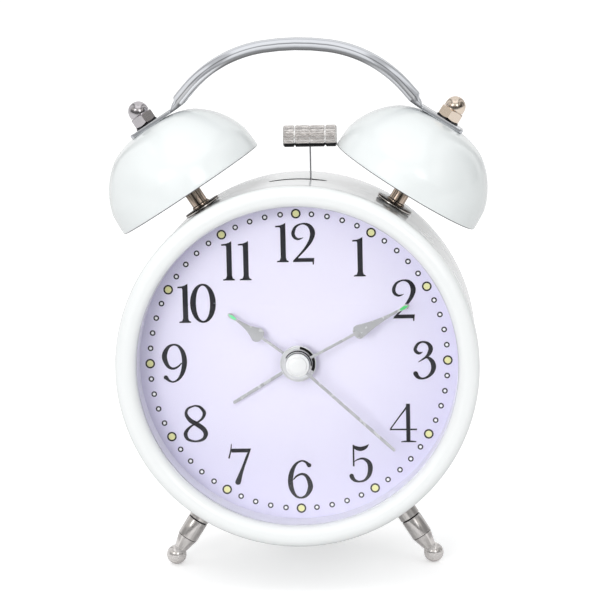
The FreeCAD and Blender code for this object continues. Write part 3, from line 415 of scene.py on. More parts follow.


# Wall between glass and dial: a white moulded ring with a satin face, tinted lavender as a painted reflection of the
# dial. It is closed in between the two and
# keeps them apart.
def surfaced(name, light, dark, roughness, waves, smear_size, bump, metallic=0.0, specular=0.5):
    """A finish of two close tones, with its own waves, smears and roughness."""
    material, tree, shader = new_material(name)
    placed, smears = add_surface(tree, shader, waves, smear_size, roughness, bump)
    two_tones(tree, shader, smears, light, dark)
    fill(tree, shader, {"Metallic": metallic, "Specular IOR Level": specular})
    return material


def moulded(name, light, dark, roughness, bump=0.25):
    return surfaced(name, light, dark, roughness, 2600.0, 60.0, bump, specular=0.4)


# The lavender tint of this white moulding is a painted reflection of the dial.
dress(moulded("white_moulding_with_painted_dial_reflection", (0.80, 0.79, 0.88), (0.77, 0.76, 0.85), (0.38, 0.5)), "dial_shroud")


# Dial: a disc of thin sheet sprayed pale lavender, with a fine spray grain. Its colour is painted darker towards
# its edge and towards the bottom, as painted shade round a painted light centre above the middle.
# It lies in front of the carrier plate.
painted_light_centre, painted_light_r, painted_shade_r = (-0.004, 0.0, 0.016), 0.016, 0.066


def dial_paint():
    material, tree, shader = new_material("lavender_dial")
    placed, smears = add_surface(tree, shader, 3000.0, 70.0, (0.5, 0.6), 0.12)
    # Painted shade: darker with distance from a point above the middle of the dial.
    reach = vector_of(tree, "DISTANCE", placed, painted_light_centre)
    two_tones(tree, shader, reach, (0.79, 0.757, 0.905), (0.655, 0.628, 0.80), painted_light_r, painted_shade_r)
    return material


dress(dial_paint(), "dial_plate")


# Print on the dial: screen-printed ink, dark for the numerals and rings, white and pale lime for the dots.
# Each colour is a thin layer of its own on the sprayed sheet.
def ink(name, colour):
    deeper = tuple(0.9 * value for value in colour)
    return surfaced(name, colour, deeper, (0.55, 0.65), 5200.0, 900.0, 0.1)


dark_ink = ink("dark_ink", (0.006, 0.005, 0.010))
white_ink = ink("white_ink", (0.95, 0.95, 0.95))
lime_ink = ink("lime_ink", (0.80, 0.79, 0.38))
ink_depth = 0.03


def smooth_path(points):
    """A smooth line through (x, z, width), by the usual four-point blend."""
    steps = 7
    ends = [points[0]] + list(points) + [points[-1]]
    path = [Vector(points[0])]
    for k in range(len(points) - 1):
        before, here, there, after = [Vector(p) for p in ends[k:k + 4]]
        for step in range(1, steps + 1):
            t = step / steps
            path.append(0.5 * ((2 * here) + (there - before) * t
                               + (2 * before - 5 * here + 4 * there - after) * t * t
                               + (3 * here - before - 3 * there + after) * t ** 3))
    return path


def brush(shape, points):
    """A stroke of changing width, drawn along a smooth path in the dial's plane."""
    path = smooth_path(points)
    sides = []
    for k, point in enumerate(path):
        along = path[min(k + 1, len(path) - 1)] - path[max(k - 1, 0)]
        square = Vector((-along.y, along.x)).normalized() * max(point.z, 0.004) / 2
        sides.append(((point.x + square.x, point.y + square.y), (point.x - square.x, point.y - square.y)))
    corners = [shape.verts.new((x, 0, z)) for x, z in sides[0]]
    edge = shape.edges.new(corners)
    for pair in sides[1:]:
        grown = bmesh.ops.extrude_edge_only(shape, edges=[edge])["geom"]
        edge = next(item for item in grown if isinstance(item, bmesh.types.BMEdge))
        for vert in edge.verts:
            joined = [e.other_vert(vert) for e in vert.link_edges]
            x, z = pair[corners.index(next(corner for corner in corners if corner in joined))]
            vert.co = (x, 0, z)
        corners = sorted(edge.verts, key=lambda vert: (vert.co - Vector((pair[0][0], 0, pair[0][1]))).length)


def spot(shape, sizes):
    x, z, radius = sizes
    made = bmesh.ops.create_circle(shape, cap_ends=True, radius=radius, segments=20)
    bmesh.ops.rotate(shape, verts=made["verts"], matrix=Matrix.Rotation(pi / 2, 3, "X"))
    bmesh.ops.translate(shape, verts=made["verts"], vec=(x, 0, z))


def cut_shape(shape, points):
    shape.faces.new([shape.verts.new((x, 0, z)) for x, z in points])


# Each digit is drawn in units of its own height, with its foot at 0: brush strokes as (x, z, width), cut
# shapes as (x, z) corners, and round ends as (x, z, radius). The nine is the six turned over.
nought = [(0.331 + 0.255 * cos(turn), 0.5 + 0.478 * sin(turn), 0.052 + 0.098 * abs(cos(turn)) ** 1.6)
          for turn in (2 * pi * k / 24 for k in range(25))]
digit_marks = {
    0: [(brush, nought)],
    1: [(cut_shape, [(0.26, 1.01), (0.262, 0.12), (0.28, 0.055), (0.33, 0.032), (0.33, 0.0), (0.03, 0.0),
            (0.03, 0.032), (0.1, 0.048), (0.128, 0.12), (0.124, 0.86), (0.11, 0.895), (0.0, 0.893), (0.0, 0.932),
            (0.12, 0.945), (0.19, 0.968)])],
    2: [(brush, [(0.31, 0.628, 0.008), (0.25, 0.6, 0.035), (0.16, 0.588, 0.06), (0.075, 0.65, 0.085),
            (0.053, 0.76, 0.09), (0.13, 0.91, 0.062), (0.3, 0.978, 0.042), (0.46, 0.925, 0.095), (0.545, 0.76, 0.132),
            (0.5, 0.56, 0.105), (0.36, 0.35, 0.068), (0.19, 0.16, 0.05), (0.05, 0.02, 0.045)]),
        (cut_shape, [(0.02, 0.0), (0.125, 0.1), (0.58, 0.1), (0.565, -0.07), (0.535, -0.07), (0.53, 0.0)])],
    3: [(brush, [(0.25, 0.715, 0.01), (0.2, 0.69, 0.05), (0.14, 0.685, 0.075), (0.08, 0.73, 0.088),
            (0.063, 0.8, 0.085), (0.135, 0.925, 0.066), (0.264, 0.973, 0.046), (0.39, 0.925, 0.085),
            (0.455, 0.81, 0.118), (0.42, 0.685, 0.105), (0.33, 0.58, 0.062), (0.139, 0.455, 0.022)]),
        (brush, [(0.28, 0.555, 0.02), (0.38, 0.565, 0.065), (0.485, 0.47, 0.115), (0.524, 0.33, 0.128),
            (0.48, 0.18, 0.1), (0.37, 0.07, 0.062), (0.24, 0.028, 0.052), (0.13, 0.06, 0.09), (0.07, 0.14, 0.122)]),
        (spot, (0.064, 0.158, 0.062))],
    4: [(cut_shape, [(0.425, 0.0), (0.425, 1.0), (0.53, 1.0), (0.53, 0.0)]),
        (brush, [(0.5, 0.985, 0.05), (0.25, 0.66, 0.038), (0.018, 0.345, 0.036)]),
        (cut_shape, [(0.0, 0.315), (0.012, 0.355), (0.7, 0.355), (0.7, 0.31)]),
        (cut_shape, [(0.29, 0.0), (0.29, 0.028), (0.4, 0.045), (0.56, 0.045), (0.68, 0.028), (0.68, 0.0)])],
    5: [(cut_shape, [(0.098, 0.425), (0.098, 0.99), (0.142, 0.985), (0.142, 0.425)]),
        (brush, [(0.105, 0.985, 0.02), (0.17, 0.915, 0.09), (0.3, 0.878, 0.112), (0.43, 0.92, 0.085),
            (0.515, 1.0, 0.01)]),
        (brush, [(0.13, 0.545, 0.02), (0.22, 0.6, 0.038), (0.36, 0.625, 0.06), (0.495, 0.545, 0.105),
            (0.545, 0.4, 0.128), (0.51, 0.2, 0.105), (0.4, 0.065, 0.062), (0.25, 0.028, 0.05), (0.13, 0.07, 0.085),
            (0.068, 0.15, 0.118)]),
        (spot, (0.063, 0.175, 0.06))],
    6: [(brush, [(0.545, 0.875, 0.1), (0.47, 0.955, 0.062), (0.36, 0.988, 0.045), (0.22, 0.91, 0.068),
            (0.115, 0.73, 0.112), (0.066, 0.48, 0.132), (0.1, 0.24, 0.115), (0.2, 0.075, 0.068), (0.33, 0.027, 0.05),
            (0.47, 0.085, 0.082), (0.565, 0.25, 0.128), (0.57, 0.4, 0.128), (0.49, 0.58, 0.09), (0.37, 0.645, 0.062),
            (0.24, 0.6, 0.05), (0.14, 0.5, 0.03)]),
        (spot, (0.555, 0.872, 0.056))],
    7: [(cut_shape, [(0.09, 0.843), (0.085, 0.945), (0.6, 0.945), (0.54, 0.843)]),
        (brush, [(0.095, 1.07, 0.022), (0.07, 0.88, 0.034), (0.022, 0.69, 0.044)]),
        (brush, [(0.578, 0.935, 0.03), (0.5, 0.76, 0.068), (0.4, 0.5, 0.072), (0.31, 0.26, 0.105),
            (0.25, 0.085, 0.145)]),
        (spot, (0.243, 0.07, 0.072))],
    8: [(brush, [(0.31, 0.955, 0.042), (0.44, 0.915, 0.068), (0.545, 0.775, 0.092), (0.5, 0.63, 0.068),
            (0.38, 0.53, 0.05), (0.2, 0.42, 0.052), (0.09, 0.31, 0.085), (0.052, 0.2, 0.102), (0.12, 0.075, 0.075),
            (0.31, 0.025, 0.052), (0.5, 0.08, 0.082), (0.572, 0.21, 0.115), (0.52, 0.34, 0.125), (0.35, 0.47, 0.125),
            (0.18, 0.575, 0.11), (0.078, 0.735, 0.082), (0.13, 0.88, 0.06), (0.31, 0.955, 0.042)])],
}


def draw_digit(digit):
    shape = bmesh.new()
    for tool, points in digit_marks[6 if digit == 9 else digit]:
        tool(shape, points)
    if digit == 9:
        bmesh.ops.rotate(shape, verts=shape.verts, cent=(0.32, 0, 0.5), matrix=Matrix.Rotation(pi, 3, "Y"))
    return shape


# Where the middle of each numeral sits, as measured on the dial, and the step between the digits of a pair.
digit_height = 12.2
numeral_places = {1: (19.32, 32.72), 2: (33.06, 18.94), 3: (39.18, 0.04), 4: (32.27, -19.69), 5: (18.88, -32.31),
                  6: (-0.16, -37.21), 7: (-19.05, -32.24), 8: (-32.65, -19.15), 9: (-38.77, 0.03),
                  10: (-31.36, 18.84), 11: (-18.74, 31.99), 12: (-0.30, 37.05)}
digit_steps = {10: 0.48, 11: 0.426, 12: 0.545}


def middle_of(shape, axis):
    values = [vert.co[axis] for vert in shape.verts]
    return (min(values) + max(values)) / 2


def add_copy(shape, other):
    """Adds a drawn shape to another, and frees it."""
    data = bpy.data.meshes.new("drawn")
    other.to_mesh(data)
    other.free()
    shape.from_mesh(data)
    bpy.data.meshes.remove(data)


def push_out(shape, faces, by):
    """Gives flat faces a thickness, by drawing them out."""
    grown = bmesh.ops.extrude_face_region(shape, geom=faces)["geom"]
    moved = [item for item in grown if isinstance(item, bmesh.types.BMVert)]
    bmesh.ops.translate(shape, verts=moved, vec=by)


for hour, (x, z) in numeral_places.items():
    number = bmesh.new()
    for place, digit in enumerate(map(int, str(hour))):
        drawn = draw_digit(digit)
        start = place * digit_steps.get(hour, 0) - middle_of(drawn, 0)
        bmesh.ops.translate(drawn, verts=drawn.verts, vec=(start, 0, 0))
        add_copy(number, drawn)
    push_out(number, number.faces[:], (0, -ink_depth / digit_height, 0))
    bmesh.ops.translate(number, verts=number.verts, vec=(-middle_of(number, 0), 0, -middle_of(number, 2)))
    bmesh.ops.scale(number, verts=number.verts, vec=(digit_height,) * 3)
    bmesh.ops.translate(number, verts=number.verts, vec=(x, 0, z))
    finish(f"numeral_{hour}", number, dark_ink, "case")

dot_circle, dots = 46.4, 60


def dot_rings(name, chosen, outer, inner, material, depth):
    """A printed ring or spot at each chosen minute; inner is 0 for a spot."""
    shape = bmesh.new()
    for k in chosen:
        clock = 2 * pi * k / dots
        ring = turned([(inner, -depth), (outer, -depth), (outer, 0), (inner, 0)], 28)
        bmesh.ops.translate(ring, verts=ring.verts, vec=(dot_circle * sin(clock), 0, dot_circle * cos(clock)))
        add_copy(shape, ring)
    finish(name, shape, material, "case")


hour_marks = range(0, dots, 5)
minute_marks = [k for k in range(dots) if k % 5]
for kind, chosen, outer, inner, paint in (("hour", hour_marks, 1.52, 1.02, lime_ink),
                                          ("minute", minute_marks, 0.90, 0.46, white_ink)):
    dot_rings(f"{kind}_dot_outlines", chosen, outer, inner, dark_ink, ink_depth)
    dot_rings(f"{kind}_dot_fills", chosen, inner + 0.02, 0.0, paint, ink_depth - 0.01)


# Alarm, hour, minute and seconds hands: stamped from thin sheet and sprayed silver grey, with their edges
# rolled over a little. The hour and minute hands end in a luminous green tip, filled in by hand.
hand_silver = surfaced("hand_silver", (0.60, 0.60, 0.615), (0.52, 0.52, 0.54), (0.22, 0.30), 4200.0, 220.0, 0.02,
                       metallic=0.4)
green_lume = ink("green_lume", (0.075, 0.66, 0.17))
pale_lume = ink("pale_lume", (0.22, 0.86, 0.42))


def round_edges(shape, edges, radius):
    bmesh.ops.bevel(shape, geom=edges, offset=radius, offset_type="OFFSET", affect="EDGES", segments=2, profile=0.5,
                    material=-1, clamp_overlap=True)


def flat_piece(side, front, back, edge):
    """A stamped piece from the right side of its outline as (x, z), with its front edges rolled over."""
    shape = bmesh.new()
    outline = side + [(-x, z) for x, z in reversed(side) if x > 1e-6]
    face = shape.faces.new([shape.verts.new((x, back, z)) for x, z in outline])
    push_out(shape, [face], (0, front - back, 0))
    round_edges(shape, [e for e in shape.edges if all(v.co.y < (front + back) / 2 for v in e.verts)], edge)
    return shape


def hand(name, body, node, side, edge, angle, depth, hub):
    """A stamped hand with its hub of (outer, inner) radius, turned to where it points."""
    front, back = depth
    outer, inner = hub
    rounding = 0.08
    blade = flat_piece(side, front, back, edge)
    add_copy(blade, turned([(inner, back), (inner, front + rounding), (inner + rounding, front),
                            (outer - rounding, front), (outer, front + rounding), (outer, back)], 96))
    pointing = Matrix.Rotation(radians(angle), 4, "Y")
    finish(name, blade, hand_silver, body, (node,), sharp=12.0, place=pointing)
    return pointing


def pointed_hand(name, body, node, sizes, angle, depth, hub, lume):
    """From the hub to the point: a thin stem, a drop-shaped blade and a narrow tip."""
    length, base, half, tip_length = sizes
    stem = 0.42
    tip_start, belly = length - tip_length, base + half
    side = [(stem, 0.0), (stem, base + 0.2)]
    side += arc(side[-1], (half * 0.72, base + half * 0.3), (half, belly), 8)
    side += arc((half, belly), (half * 0.42, belly + (tip_start - belly) * 0.42), (stem, tip_start), 10)
    side += [(0.72, tip_start + tip_length * 0.45)]
    side += arc(side[-1], (0.25, length - 0.15), (0.0, length), 5)
    pointing = hand(name, body, node, side, 0.1, angle, depth, hub)
    tip = [(0.30, tip_start + 0.1), (0.50, tip_start + 0.45 * tip_length), (0.0, length - 0.25)]
    pad = flat_piece(tip, depth[0] - 0.07, depth[0] + 0.05, 0.06)
    finish(name + "_lume", pad, lume, body, place=pointing)


def baton_hand(name, body, node, length, half, angle, depth, hub):
    """A straight hand with a round end."""
    shoulder = (half, length - half)
    side = [(half, 0.0), shoulder] + arc(shoulder, (half * 0.7071, length - half * 0.2929), (0.0, length), 5)
    hand(name, body, node, side, 0.08, angle, depth, hub)


baton_hand("alarm_pointer", "alarm", "alarm_hand", 24.0, 0.5, 238.8, (-2.0, -1.7), (4.6, 2.51))
pointed_hand("hour_pointer", "hours", "hour_hand", (26.8, 13.4, 2.35, 3.2), 306.3, (-3.3, -3.0), (5.2, 1.81),
             pale_lume)
pointed_hand("minute_pointer", "minutes", "minute_hand", (39.3, 19.6, 2.2, 3.4), 62.4, (-5.4, -5.1), (4.1, 1.11),
             green_lume)
baton_hand("seconds_pointer", "seconds", "second_hand", 40.3, 0.48, 132.5, (-6.9, -6.6), (2.4, 0.46))


# Hub of the hands: a bright plated cup on the hour hand, a bright collar on the minute hand, and a white
# moulded cap with a soft dome on the seconds arbor. Each is a press fit.
def cup_plate(name, middle, half, turn, low, high):
    """Bright plating with a groove at a radius, to half its width each way, dark about the turn where the
    light doesn't reach in."""
    material, tree, shader = new_material(name)
    placed, smears = add_surface(tree, shader, 900.0, 90.0, (0.12, 0.2), 0.02)
    bright = two_tones(tree, shader, smears, (0.93, 0.93, 0.95), (0.86, 0.86, 0.88))
    in_plane = vector_of(tree, "MULTIPLY", placed, (1, 0, 1))
    reach = vector_of(tree, "LENGTH", in_plane)
    heading = vector_of(tree, "NORMALIZE", in_plane)
    towards = vector_of(tree, "DOT_PRODUCT", heading, (sin(radians(turn)), 0, cos(radians(turn))))
    side = spread_of(tree, towards, low, high)
    shaded = math_of(tree, "MULTIPLY", side, band_of(tree, reach, middle, half))
    fill(tree, shader, {"Base Color": colour_mix(tree, shaded, bright, (0.03, 0.027, 0.027)),
                        "Metallic": spread_of(tree, shaded, 0.0, 1.0, 0.25, 1.0)})
    return material


bright_plate = cup_plate("cup_plate", 4.92, 0.46, 62, 0.56, 0.60)
collar_plate = cup_plate("collar_plate", 4.22, 0.2, 18, 0.14, 0.30)
cup = [(5.25, -3.1), (5.6, -3.1), (5.62, -3.75)]
cup += arc(cup[-1], (5.5, -3.92), (5.32, -3.86), 4)
cup += [(5.22, -3.62), (4.6, -3.58), (4.45, -3.42), (4.0, -3.40), (4.0, -3.1)]
finish("hour_cup", turned(cup, 96), bright_plate, "hours")
collar = [(3.72, -5.15), (4.38, -5.15), (4.4, -5.6)]
collar += arc(collar[-1], (4.34, -5.72), (4.2, -5.72), 4)
collar += [(3.95, -5.72), (3.76, -5.6), (3.72, -5.46)]
finish("minute_collar", turned(collar, 96), collar_plate, "minutes")
# A black ring behind the rim of the seconds cap is painted shadow, in the gap between the cap and the collar.
shadow_black = moulded("shadow_black", (0.014, 0.014, 0.016), (0.009, 0.009, 0.011), (0.5, 0.62))
shadow_ring = [(2.4, -5.42), (3.73, -5.42), (3.73, -5.5), (2.4, -5.5)]
finish("collar_shadow_ring", turned(shadow_ring, 96), shadow_black, "minutes")
cap_gloss = moulded("cap_gloss", (0.82, 0.82, 0.825), (0.80, 0.80, 0.805), (0.10, 0.18), 0.04)
dome = [(0.0, -8.7), (1.4, -8.67)]
dome += arc(dome[-1], (2.3, -8.56), (2.78, -8.36), 6)
dome += [(2.82, -7.9), (3.04, -7.88), (3.08, -8.02), (3.2, -8.04)]
dome += arc(dome[-1], (3.58, -7.82), (3.7, -7.45), 5)
dome += [(3.7, -7.05), (3.6, -6.95), (0.6, -6.95), (0.6, -7.45), (0.0, -7.45)]
finish("seconds_cap", turned(dome, 96), cap_gloss, "seconds", ("hand_cap",))


# Movement: two grey moulded shells round a train of cream acetal wheels, a wound bobbin and a green board.
# It is screwed behind the dial, on a grey plate with four pillars.
def polished(name, light, dark, roughness, bump=0.02):
    return surfaced(name, light, dark, roughness, 900.0, 90.0, bump, metallic=1.0)


plain_steel = polished("plain_steel", (0.50, 0.50, 0.51), (0.40, 0.40, 0.42), (0.26, 0.4), 0.12)
dress(moulded("grey_moulding", (0.33, 0.34, 0.35), (0.28, 0.29, 0.30), (0.4, 0.52)),
      "dial_carrier", "movement_front_shell", "movement_back_shell")
dress(moulded("acetal", (0.78, 0.75, 0.64), (0.72, 0.69, 0.57), (0.34, 0.44), 0.15),
      "seconds_wheel", "fifth_wheel", "rotor", "third_wheel", "centre_wheel", "cannon_pinion", "minute_wheel",
      "hour_wheel", "alarm_wheel", "crank_wheel", "time_set_arbor", "alarm_set_arbor")
dress(plain_steel, "movement_screws", "stator_plate", "bell_bracket", "bell_motor", "motor_pinion",
      "hammer_lever", "hammer_pivot_pin", "stud_nuts", "leg_nuts", "bell_studs")
dress(moulded("solder_mask", (0.02, 0.16, 0.06), (0.015, 0.12, 0.045), (0.22, 0.34), 0.1), "circuit_board")
dress(polished("copper_wire", (0.62, 0.27, 0.12), (0.50, 0.20, 0.08), (0.25, 0.35), 0.3), "coil_bobbin")

# Rear cover: one white moulding with a fine spark-eroded texture, closed by four screws. It holds the
# battery bay and its door, the wells for the two knobs, the alarm switch and the rear foot.
dress(moulded("rear_moulding", (0.82, 0.83, 0.83), (0.77, 0.78, 0.78), (0.42, 0.56), 0.5),
      "rear_cover", "battery_door")
dress(moulded("knob_moulding", (0.80, 0.81, 0.81), (0.74, 0.75, 0.75), (0.3, 0.42), 0.3),
      "time_set_knob", "alarm_set_knob")
dress(moulded("switch_moulding", (0.14, 0.15, 0.16), (0.11, 0.12, 0.13), (0.38, 0.5), 0.4), "alarm_switch_slider")
dress(moulded("cell_sleeve", (0.08, 0.09, 0.12), (0.06, 0.07, 0.10), (0.22, 0.34), 0.08), "battery_cell")
dress(polished("spring_plate", (0.72, 0.72, 0.71), (0.62, 0.62, 0.62), (0.16, 0.28), 0.06),
      "battery_contact_plus", "battery_contact_minus")
dress(plain_steel, "rear_cover_screws")


# Bell posts: turned spacers between drum and bell, in a dark bronze finish with lengthwise light and dark lines,
# which are painted reflection bands.
# Each stands on a wide flat washer of the same finish.
def streaked_metal(name, light, dark, roughness, lines, bump=0.2, stretch=(1, 1, 0.03), stem=True, marks=(),
                   plain_from=None, metallic=1.0):
    """Turned or drawn metal with lines of two tones, partly drawing lines and partly painted reflection bands;
    marks are dark rings (from, to) along a stem, painted shade in grooves, at steps and where it meets other parts.

    Past plain_from on the stem the lines fade out. What it gives besides the material is for further marks."""
    material, tree, shader = new_material(name)
    placed, smears = add_surface(tree, shader, lines * 1.7, lines, roughness, bump, stretch, stem)
    tone = two_tones(tree, shader, smears, light, dark, 0.38, 0.62)
    at = parts_of(tree, placed)
    if plain_from:
        share = edge_of(tree, at["Z"], plain_from - 0.3, plain_from + 0.3)
        tone = colour_mix(tree, share, tone, light)
    for start, end in marks:
        mask = band_of(tree, at["Z"], (start + end) / 2, (end - start) / 2)
        tone = colour_mix(tree, mask, tone, (0.03, 0.028, 0.028))
    fill(tree, shader, {"Base Color": tone, "Metallic": metallic})
    return material, tree, shader, at, tone


bell_angle, drum_r, post_foot, post_top, bore_r = 32.7, 55.6, 56.65, 85.2, 2.05
# Lengthwise lines are painted reflection bands; the dark rings are painted shade where the post meets its washer and
# at its shoulder.
bronze = streaked_metal("bronze", (0.66, 0.53, 0.43), (0.045, 0.03, 0.025), (0.16, 0.28), 1150.0,
                        marks=((56.0, 56.75), (57.2, 57.45)))[0]


def on_stem(angle):
    """Turns what is drawn on an upright stem to its clock angle, in the drum's middle plane."""
    return Matrix.Translation((0, mid_depth, 0)) @ Matrix.Rotation(radians(angle), 4, "Y")


stems = {"left": -bell_angle, "right": bell_angle}
for side, angle in stems.items():
    post = [(bore_r, post_foot), (2.92, post_foot), (3.0, post_foot + 0.08), (3.0, post_foot + 0.52),
            (2.92, post_foot + 0.6), (2.7, post_foot + 0.75), (2.65, post_foot + 0.95), (2.65, post_top),
            (bore_r, post_top)]
    finish(f"post_{side}", turned(post, 72, "stem"), bronze, "case",
           (f"bell_post_{side}",), place=on_stem(angle))
washers = bmesh.new()
low, edge = drum_r + 0.03, 6.05
washer = [(bore_r, low), (edge - 0.15, low), (edge, low + 0.15), (edge, post_foot - 0.2),
          (edge - 0.06, post_foot - 0.06), (edge - 0.2, post_foot), (bore_r, post_foot)]
for angle in stems.values():
    one = turned(washer, 96, "stem")
    one.transform(on_stem(angle))
    add_copy(washers, one)
dark_bronze, tree, shader, at, tone = streaked_metal(
    "dark_bronze", (0.14, 0.11, 0.095), (0.012, 0.011, 0.011), (0.2, 0.34), 700.0)
# A light band is painted round the side of each washer.
light_band_height, light_band_half = 56.05, 0.14
light_band = band_of(tree, at["Z"], light_band_height, light_band_half)
fill(tree, shader, {"Base Color": colour_mix(tree, light_band, tone, (0.62, 0.60, 0.57))})
finish("flat_washers", washers, dark_bronze, "case", ("post_washers",))

# Bells: steel spun over a form to a flattened dome with a straight skirt, the rim cut square and eased,
# then enamelled a cooler white than the case. The strap and the acorn nut hold each one on its stud.
bell_rim, rim_r, bell_height, bell_wall = 62.5, 25.35, 23.6, 0.9
bell_enamel = enamel("bell_enamel", (0.85, 0.88, 0.88), (0.815, 0.855, 0.855), dark_rim_below=bell_rim + 0.28)
crown = bell_height - bell_wall
bell_outline = [(24.75, 0.0), (25.1, 0.0), (25.27, 0.12), (rim_r, 0.4), (rim_r, 1.3), (25.25, 4.1), (25.0, 6.9)]
bell_outline += arc(bell_outline[-1], (21.75, 14.1), (15.0, 20.85), 18)
bell_outline += arc(bell_outline[-1], (10.4, 22.75), (5.0, bell_height), 9)
bell_outline += [(2.1, bell_height), (2.1, crown), (5.0, crown)]
bell_outline += arc((5.0, crown), (10.0, 21.85), (14.4, 20.0), 9)
bell_outline += arc((14.4, 20.0), (20.95, 13.55), (24.1, 6.8), 16)
bell_outline += [(24.4, 4.1), (24.5, 1.2), (24.5, 0.25)]
for side, angle in stems.items():
    bell = turned([(r, bell_rim + h) for r, h in bell_outline], 144, "stem")
    finish(f"enamelled_bell_{side}", bell, bell_enamel, "case", (f"bell_{side}",),
           place=on_stem(angle))

# Acorn nuts: M4 dome nuts on thin lock washers, nickel plated; the left one has a greyer plate than the
# right one, which is almost champagne. Their hexagons have the corners turned off at both ends.
strap_top = 87.3
nut_base = strap_top + 0.5
across_flats, flats_height, dome_r = 7.0, 3.2, 3.25
grey_nickel = polished("grey_nickel", (0.70, 0.67, 0.69), (0.50, 0.475, 0.50), (0.16, 0.28), 0.05)
champagne = polished("champagne", (0.92, 0.80, 0.68), (0.74, 0.62, 0.52), (0.16, 0.28), 0.05)


def edges_of(made):
    """The edges of a circle that has just been made."""
    return list({edge for vert in made["verts"] for edge in vert.link_edges})


def stacked_rings(shape, radius, segments, count, factor_at):
    """Joined copies of a circle, one on the other; factor_at gives a corner's reach at its angle."""
    made = bmesh.ops.create_circle(shape, cap_ends=False, radius=radius, segments=segments)
    for vert in made["verts"]:
        vert.co *= factor_at(atan2(vert.co.y, vert.co.x))
    rings = [edges_of(made)]
    for _ in range(count - 1):
        grown = bmesh.ops.extrude_edge_only(shape, edges=rings[-1])["geom"]
        rings.append([item for item in grown if isinstance(item, bmesh.types.BMEdge)])
    return rings


def close_ends(shape, rings):
    for edges in (rings[0], rings[-1]):
        bmesh.ops.contextual_create(shape, geom=edges)


def hexagon_nut(base, height, turn):
    """A hexagon with its corners chamfered by a cone at top and bottom, tightened to its own angle."""
    shape = bmesh.new()
    turned_to = across_flats / 2 - 0.12
    rings = stacked_rings(shape, across_flats / 2, 72, 4, lambda angle: 1 / cos((angle % (pi / 3)) - pi / 6))
    for k, edges in enumerate(rings):
        for vert in {v for edge in edges for v in edge.verts}:
            reach = vert.co.to_2d().length
            drop = max(reach - turned_to, 0.0) * 0.6
            if k in (0, 3):
                vert.co.xy *= turned_to / reach
                drop = 0.0
            vert.co.z = base + (drop if k < 2 else height - drop)
    close_ends(shape, rings)
    bmesh.ops.rotate(shape, verts=shape.verts, cent=(0, 0, 0), matrix=Matrix.Rotation(radians(turn), 3, "Z"))
    return shape


for side, angle, plate, turn in (("left", -bell_angle, grey_nickel, 38.0), ("right", bell_angle, champagne, 26.0)):
    nut = hexagon_nut(nut_base, flats_height, turn)
    flats_top = nut_base + flats_height
    dome_foot = flats_top + 1.2
    dome = [(0.0, flats_top - 0.3), (dome_r - 0.45, flats_top - 0.3), (dome_r - 0.45, flats_top + 0.12),
            (dome_r - 0.06, flats_top + 0.2), (dome_r, flats_top + 0.34), (dome_r, dome_foot)]
    dome += arc(dome[-1], (dome_r * cos(pi / 4), dome_foot + dome_r * sin(pi / 4)), (0.0, dome_foot + dome_r), 14)
    add_copy(nut, turned(dome, 64, "stem"))
    finish(f"dome_nut_{side}", nut, plate, "case",
           (f"acorn_nut_{side}",), sharp=24.0, place=on_stem(angle))
# The lock washers are painted near black, as painted shade in the gap under the nuts.
dress(polished("shade_black_steel", (0.05, 0.05, 0.055), (0.03, 0.03, 0.033), (0.3, 0.42), 0.1), "lock_washers")


# Carrying strap: a strip of steel pressed to a half-round channel, bent over in one bow and chromed. Its
# ends are pinched flat and lie between bell and nut.
strap_bottom, strap_thick = 86.1, 1.2
top_height, crown_r, crown_turn, shoulder_r, slope = 100.1, 75.0, 8.0, 41.0, 49.5
channel = (4.5, 4.0, 3.65, 3.15)
half_pinched = (4.9, 2.5, 4.3, 1.55)
nearly_flat = (5.25, strap_thick, 5.0, 0.06)


def strap_chrome():
    """Bright chrome with lengthwise light and dark bands across its section, painted as reflection bands, and dark
    rims painted as shade.

    The map's first value goes once round the section, from the front rim over the top to the back rim."""
    material, tree, shader = new_material("strap_chrome")
    placed, smears = add_surface(tree, shader, 900.0, 90.0, (0.03, 0.08), 0.015)
    plate = two_tones(tree, shader, smears, (0.86, 0.88, 0.925), (0.80, 0.82, 0.865))
    section = parts_of(tree, node_of(tree, "ShaderNodeUVMap", uv_map="section").outputs["UV"])
    # Painted reflection bands across the section, with painted shade at both rims.
    tones = ((0.0, 0.12), (0.035, 0.26), (0.09, 0.50), (0.12, 0.72), (0.160, 0.80), (0.175, 0.32), (0.190, 0.36),
             (0.215, 0.96), (0.30, 0.96), (0.33, 0.66), (0.345, 0.72), (0.36, 0.92), (0.40, 0.94), (0.415, 0.42),
             (0.430, 0.48), (0.45, 0.90), (0.53, 0.82), (0.56, 0.50), (0.60, 0.80), (0.96, 0.80), (1.0, 0.25))
    reflection_banded = colour_mix(tree, 1.0, plate, ramp_of(tree, section["X"], tones), "MULTIPLY")
    fill(tree, shader, {"Base Color": reflection_banded, "Metallic": 0.6})
    return material


def channel_ring(shape, sizes, x, z, turn):
    """A loop across the strip: half width and height outside, then inside, at a point of its underside."""
    round_at = shape.verts.layers.float.get("round") or shape.verts.layers.float.new("round")
    half, height, inner_half, inner_height = sizes
    rim = 0.16
    outer = arc((-half + 0.02, rim), (0.0, height), (half - 0.02, rim), 18)
    inner = arc((inner_half, 0.0), (0.0, inner_height), (-inner_half, 0.0), 14)
    outline = [(-half + 0.02, rim)] + outer + [(inner_half, 0.0)] + inner
    sloped = Matrix.Translation((x, 0, z)) @ Matrix.Rotation(radians(turn), 4, "Y")
    verts = [shape.verts.new(sloped @ Vector((0, y, h))) for y, h in outline]
    for k, vert in enumerate(verts):
        vert[round_at] = min(k / len(outer), 1.0) if k <= len(outer) else 0.7
    return [shape.edges.new((a, b)) for a, b in zip(verts, verts[1:] + verts[:1])]


